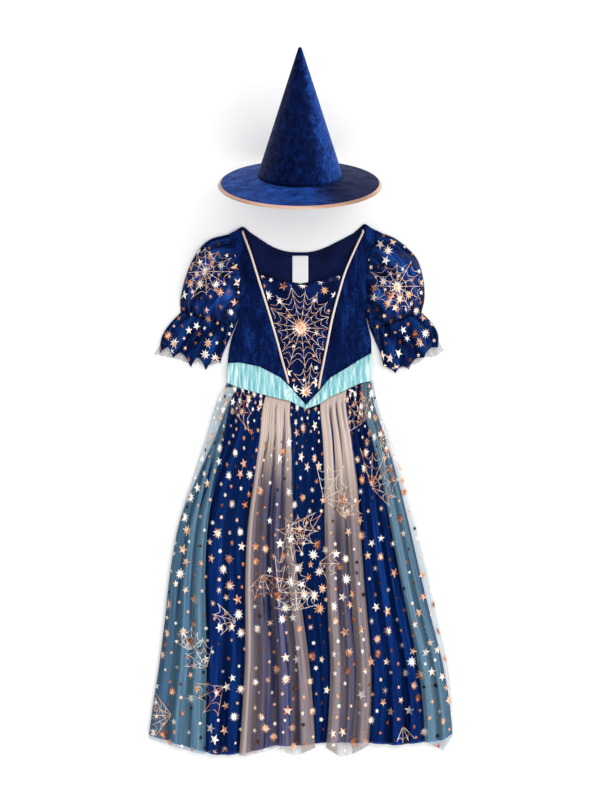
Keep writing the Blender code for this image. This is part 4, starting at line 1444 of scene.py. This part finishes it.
@dataclass
class FoilPrint:
    """Stars, bursts and webs of foil on some cloth: common motifs in a layout of their own."""

    name: str
    cloth: list[bpy.types.Object]
    seed: int
    lift: float = 0.5

    def __post_init__(self) -> None:
        """Starts an empty print and finds the cloth's top."""
        self.bm = bmesh.new()
        self.tone = self.bm.faces.layers.float.new("tone")
        self.draw = np.random.default_rng(self.seed)
        corners, faces = [], []
        for piece in self.cloth:
            base = len(corners)
            corners += [tuple(vert.co) for vert in piece.data.vertices]
            faces += [tuple(base + k for k in face.vertices) for face in piece.data.polygons]
        self.tree = BVHTree.FromPolygons(corners, faces)

    def height(self, x: float, y: float) -> float | None:
        """The cloth's top at a place in millimetres, or None beside it."""
        hit = self.tree.ray_cast(Vector((x * MM, y * MM, 0.5)), Vector((0, 0, -1)))[0]
        return None if hit is None else hit.z / MM

    def some_tone(self) -> float:
        """Draws one motif's painted tone: a painted white glint, rose gold, or a painted dark copper reflection."""
        mean = self.draw.choice((0.9, 0.62, 0.36), p=(0.44, 0.38, 0.18))
        return float(np.clip(self.draw.normal(mean, 0.06), 0.1, 1.0))

    def star(self, x: float, y: float, radius: float, points: int, depth: float, squeeze: float, tone: float) -> None:
        """Adds a star or burst.

        Args:
            x: its middle.
            y: its middle.
            radius: to its points.
            points: how many it has.
            depth: its notches' share of the radius.
            squeeze: how much a fold narrows it.
            tone: painted light, from a dark copper reflection, 0, to a white glint, 1.
        """
        made = bmesh.ops.create_circle(self.bm, cap_ends=True, cap_tris=True, segments=points * 2, radius=1.0)
        turn = self.draw.uniform(0, 2 * math.pi / points)
        rays = self.draw.uniform(0.72, 1.0, points * 2) if points > 7 else np.ones(points * 2)
        for vert in made["verts"]:
            far = vert.co.xy.length
            angle = math.atan2(vert.co.y, vert.co.x)
            ray = round((angle - math.pi / 2) / (math.pi / points)) % (points * 2)
            reach = radius * far * (depth if ray % 2 and far > 0.5 else rays[ray])
            vert.co = (
                (x + reach * math.cos(angle + turn) * squeeze) * MM, (y + reach * math.sin(angle + turn)) * MM, 0.0,
            )
        for face in {face for vert in made["verts"] for face in vert.link_faces}:
            face[self.tone] = tone

    def thread(self, points: list[tuple[float, float]], width: float, tone: float) -> None:
        """Adds a thin line of foil through points in plan."""
        count = len(points) - 1
        made = bmesh.ops.create_grid(self.bm, x_segments=count, y_segments=1, size=0.5)
        path = np.array(points)
        ahead = np.gradient(path, axis=0)
        ahead /= np.maximum(np.linalg.norm(ahead, axis=1), 1e-6)[:, None]
        for vert in made["verts"]:
            k = round((vert.co.x + 0.5) * count)
            side = math.copysign(width / 2, vert.co.y)
            spot = path[k] + side * np.array([-ahead[k][1], ahead[k][0]])
            vert.co = (spot[0] * MM, spot[1] * MM, 0.0)
        for face in {face for vert in made["verts"] for face in vert.link_faces}:
            face[self.tone] = tone

    def web(
        self, x: float, y: float, radius: float, threads: int, rings: int, start: float = 0.0,
        sweep: float = 2 * math.pi, squeeze: float = 1.0, width: float = 1.0, tone: float = 0.72,
    ) -> None:
        """Adds a web, or a sector of one, with rings that sag between its threads."""
        whole = sweep > 6.2
        count = threads if whole else threads - 1
        angles = [start + sweep * k / count + self.draw.uniform(-0.05, 0.05) for k in range(threads)]
        reach = [radius * self.draw.uniform(0.8, 1.08) for _ in angles]
        for angle, far in zip(angles, reach):
            line = [
                (x + far * s * math.cos(angle) * squeeze, y + far * s * math.sin(angle))
                for s in np.linspace(0.04, 1.0, 9)
            ]
            self.thread(line, width, tone)
        for k in range(count):
            after = (k + 1) % threads
            span = (angles[after] - angles[k]) % (2 * math.pi)
            for ring in range(1, rings + 1):
                share = (ring / rings) ** 0.9 * 0.94
                arc = []
                for q in np.linspace(0, 1, 6):
                    far = mix(reach[k], reach[after], q) * share * (1 - 0.2 * math.sin(math.pi * q))
                    angle = angles[k] + span * q
                    arc.append((x + far * math.cos(angle) * squeeze, y + far * math.sin(angle)))
                self.thread(arc, width * 0.8, tone)

    def scatter(
        self, box: tuple[float, float, float, float], gap: Callable[[float, float], float], tries: int,
        squeeze: Callable[[float, float], float], taken: list[tuple[float, float, float]],
    ) -> int:
        """Strews stars and bursts over the cloth, no two closer than the gap there.

        Args:
            box: left, bottom, right and top in millimetres.
            gap: the least distance between middles at a place, or 0 where the cloth stays plain.
            tries: how many places are drawn.
            squeeze: how much folds narrow a motif at a place.
            taken: places kept clear, with their radii.

        Returns:
            How many were placed.
        """
        spots: list[tuple[float, float]] = []
        placed = 0
        for _ in range(tries):
            x, y = self.draw.uniform(box[0], box[2]), self.draw.uniform(box[1], box[3])
            least = gap(x, y)
            if least <= 0 or self.height(x, y) is None:
                continue
            if any(math.hypot(x - a, y - b) < r for a, b, r in taken):
                continue
            if any(math.hypot(x - a, y - b) < least for a, b in spots):
                continue
            spots.append((x, y))
            placed += 1
            pick = self.draw.uniform()
            narrow = squeeze(x, y)
            motif = next(each for each in MOTIFS if pick < each.upto)
            radius = self.draw.uniform(*motif.radius)
            points = motif.points if motif.points else int(self.draw.integers(*BURST_POINTS))
            tone = self.some_tone() if motif.tone is None else motif.tone
            self.star(x, y, radius, points, motif.depth, narrow, tone)
        return placed

    def build(self) -> bpy.types.Object:
        """Lays the print on the cloth, and drops what hangs past it."""
        gone = []
        for vert in self.bm.verts:
            top = self.height(vert.co.x / MM, vert.co.y / MM)
            if top is None:
                gone.append(vert)
            else:
                vert.co.z = (top + self.lift) * MM
        bmesh.ops.delete(self.bm, geom=gone, context="VERTS")
        self.bm.normal_update()
        down = [face for face in self.bm.faces if face.normal.z < 0]
        bmesh.ops.reverse_faces(self.bm, faces=down)
        mesh = bpy.data.meshes.new(self.name)
        self.bm.to_mesh(mesh)
        self.bm.free()
        piece = link(mesh, self.name, FOIL)
        return keep(piece, "printed_mesh")


@dataclass
class Studio:
    """White paper, soft light from above and the right, and the camera straight above."""

    camera_at: tuple[float, float, float] = (-0.0019, -0.0475, 5.771)
    lens: float = 135.0
    floor: float = 8.0
    dim: float = 0.56
    bright: float = 1.78

    def camera(self) -> None:
        """Adds the camera."""
        data = bpy.data.cameras.new("camera")
        data.lens = self.lens
        data.sensor_width = 36.0
        data.clip_end = 100.0
        made = bpy.data.objects.new("camera", data)
        made.location = self.camera_at
        bpy.context.scene.collection.objects.link(made)
        bpy.context.scene.camera = made

    def light(self, name: str, at: tuple[float, float, float], size: tuple[float, float], watts: float) -> None:
        """Adds a softbox that faces the costume."""
        data = bpy.data.lights.new(name, "AREA")
        data.shape = "RECTANGLE"
        data.size, data.size_y = size
        data.energy = watts
        made = bpy.data.objects.new(name, data)
        made.location = at
        made.rotation_euler = (Vector(at) - Vector((0, -0.05, 0))).to_track_quat("Z", "Y").to_euler()
        bpy.context.scene.collection.objects.link(made)

    def build(self) -> None:
        """Adds the paper, the key light, the world and the camera."""
        bm = bmesh.new()
        bmesh.ops.create_grid(bm, x_segments=2, y_segments=2, size=self.floor / 2)
        bmesh.ops.translate(bm, vec=(0, 0, -0.0004), verts=bm.verts[:])
        mesh = bpy.data.meshes.new("background_paper")
        bm.to_mesh(mesh)
        bm.free()
        link(mesh, "background_paper", PAPER)
        world = bpy.data.worlds.new("studio")
        world.use_nodes = True
        tree = world.node_tree
        facing = add_node(tree, "SeparateXYZ", {}, {0: add_node(tree, "TexCoord").outputs["Generated"]})
        bright = add_node(tree, "MapRange", {
            "From Min": -1.0, "From Max": 1.0, "To Min": self.dim, "To Max": self.bright,
        }, {"Value": facing.outputs["X"]})
        sky = tree.nodes["Background"]
        sky.inputs["Color"].default_value = (1.0, 1.0, 1.0, 1.0)
        tree.links.new(bright.outputs[0], sky.inputs["Strength"])
        bpy.context.scene.world = world
        self.light("key", (1.6, 1.4, 3.4), (1.2, 1.2), 9.0)
        self.camera()
        view = bpy.context.scene.view_settings
        view.view_transform = "Standard"
        view.look = "None"


@dataclass
class Costume:
    """The dress and its hat."""

    outline: Outline = field(default_factory=Outline)

    def dress(self) -> None:
        """Builds the dress from the surface up, and prints it."""
        bodice = Bodice(self.outline)
        bodice.back()
        bodice.care_label()
        centre = bodice.fronts()[2]
        skirt = Skirt(self.outline)
        skirt.back()
        skirt.front(0)
        mesh = skirt.front(1)
        tulle = [
            skirt.tulle("aqua_left", AQUA_LEFT), skirt.tulle("pink_left", PINK_LEFT),
            skirt.tulle("pink_right", PINK_RIGHT), skirt.tulle("aqua_right", AQUA_RIGHT),
        ]
        for side in Side:
            bodice.piping(side)
            bodice.band(side)
            sleeve = Sleeve(self.outline, side)
            puff, frill = sleeve.puffed(), sleeve.frill()
            sleeve.frill_net()
            self.print_sleeve(side, puff, frill)
        self.print_centre(centre)
        self.print_skirt(skirt, [mesh] + tulle)

    def print_centre(self, cloth: bpy.types.Object) -> None:
        """A whole web round a burst, with stars about it."""
        foil = FoilPrint("foil_centre", [cloth], 71, 0.35)
        foil.web(1.5, 99.0, 84.0, 17, 5, width=0.75)
        foil.star(1.5, 99.0, 19.0, 15, 0.5, 1.0, 0.66)
        foil.web(14.0, -20.0, 50.0, 4, 3, 1.0, 1.2, width=0.75)
        foil.star(11.0, -22.0, 16.0, 10, 0.38, 1.0, 0.7)
        taken = [(1.5, 99.0, 80.0), (11.0, -22.0, 20.0)]
        foil.scatter((-90, -60, 90, 210), lambda x, y: 17.0, 900, lambda x, y: 1.0, taken)
        foil.scatter((-60, 30, 60, 170), lambda x, y: 30.0, 60, lambda x, y: 1.0, [(1.5, 99.0, 24.0)])
        foil.build()

    def print_sleeve(self, side: Side, puff: bpy.types.Object, frill: bpy.types.Object) -> None:
        """A web and strewn stars on a sleeve and its frill."""
        foil = FoilPrint("foil_sleeve_" + side.value, [puff, frill], 73 if side is Side.LEFT else 74, 0.5)
        middle = (-178.0, 205.0) if side is Side.LEFT else (184.0, 176.0)
        foil.web(*middle, 55.0, 12, 3, width=0.8, tone=0.7)
        foil.star(*middle, 14.0, 10, 0.4, 1.0, 0.85)
        left, right = sorted((side.outward * 116, side.outward * 270))
        foil.scatter((left, 10, right, 285), lambda x, y: 15.0, 1500, lambda x, y: 0.85, [(*middle, 18.0)])
        foil.build()

    def print_skirt(self, skirt: Skirt, cloth: list[bpy.types.Object]) -> None:
        """Stars, bursts and pieces of web all over the skirt, but for the plain tulle near the waist."""
        foil = FoilPrint("foil_skirt", cloth, 79, 0.45)
        outline = self.outline

        def share(x: float, y: float) -> tuple[float, float]:
            left, right = (float(outline.edge(side, np.array(y))) for side in Side)
            return (x - left) / (right - left), float(np.clip((-y - 30) / 660, 0, 1))

        def plain(x: float, y: float) -> bool:
            across, down = share(x, y)
            for name, strip, deep in (("pink_left", 0.16, 0.13), ("pink_right", 0.0, 0.27)):
                first, last = (k // 3 for k in skirt.span(name))
                left = mix(skirt.folds[first].waist, skirt.folds[first].hem, down)
                right = mix(skirt.folds[last].waist, skirt.folds[last].hem, down)
                inside = (across - left) / (right - left)
                if 0 <= inside <= 1 and (down < deep or inside < strip):
                    return True
            return False

        def gap(x: float, y: float) -> float:
            down = share(x, y)[1]
            return 0.0 if plain(x, y) else mix(9.0, 19.0, float(ease(down * 3)))

        def squeeze(x: float, y: float) -> float:
            return mix(0.6, 0.95, float(ease(share(x, y)[1] * 2))) * foil.draw.uniform(0.75, 1.0)

        for k in range(22):
            y = -60 - 610 * ((k * 0.618) % 1.0)
            left, right = (float(outline.edge(side, np.array(y))) for side in Side)
            x = mix(left, right, (k * 0.367 + 0.13) % 1.0)
            if plain(x, y):
                continue
            start, sweep = foil.draw.uniform(0, 6.28), foil.draw.uniform(1.3, 2.9)
            foil.web(
                x, y, foil.draw.uniform(44, 80), 2 + int(sweep / 0.5), 3, start, sweep, squeeze(x, y), 0.8,
                float(foil.draw.uniform(0.6, 0.9)),
            )
        count = foil.scatter((-300, -715, 300, 0), gap, 14000, squeeze, [])
        LOG.info("skirt motifs: %d", count)
        foil.build()

    def hat(self) -> None:
        """Builds the hat."""
        made = Hat()
        made.crown()
        made.brim()
        made.binding()


def main() -> None:
    """Loads the frame, dresses it, and lights it."""
    logging.basicConfig(level=logging.INFO, format="%(name)s: %(message)s", force=True)
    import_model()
    costume = Costume()
    costume.dress()
    costume.hat()
    Studio().build()


if __name__ == "__main__":
    main()
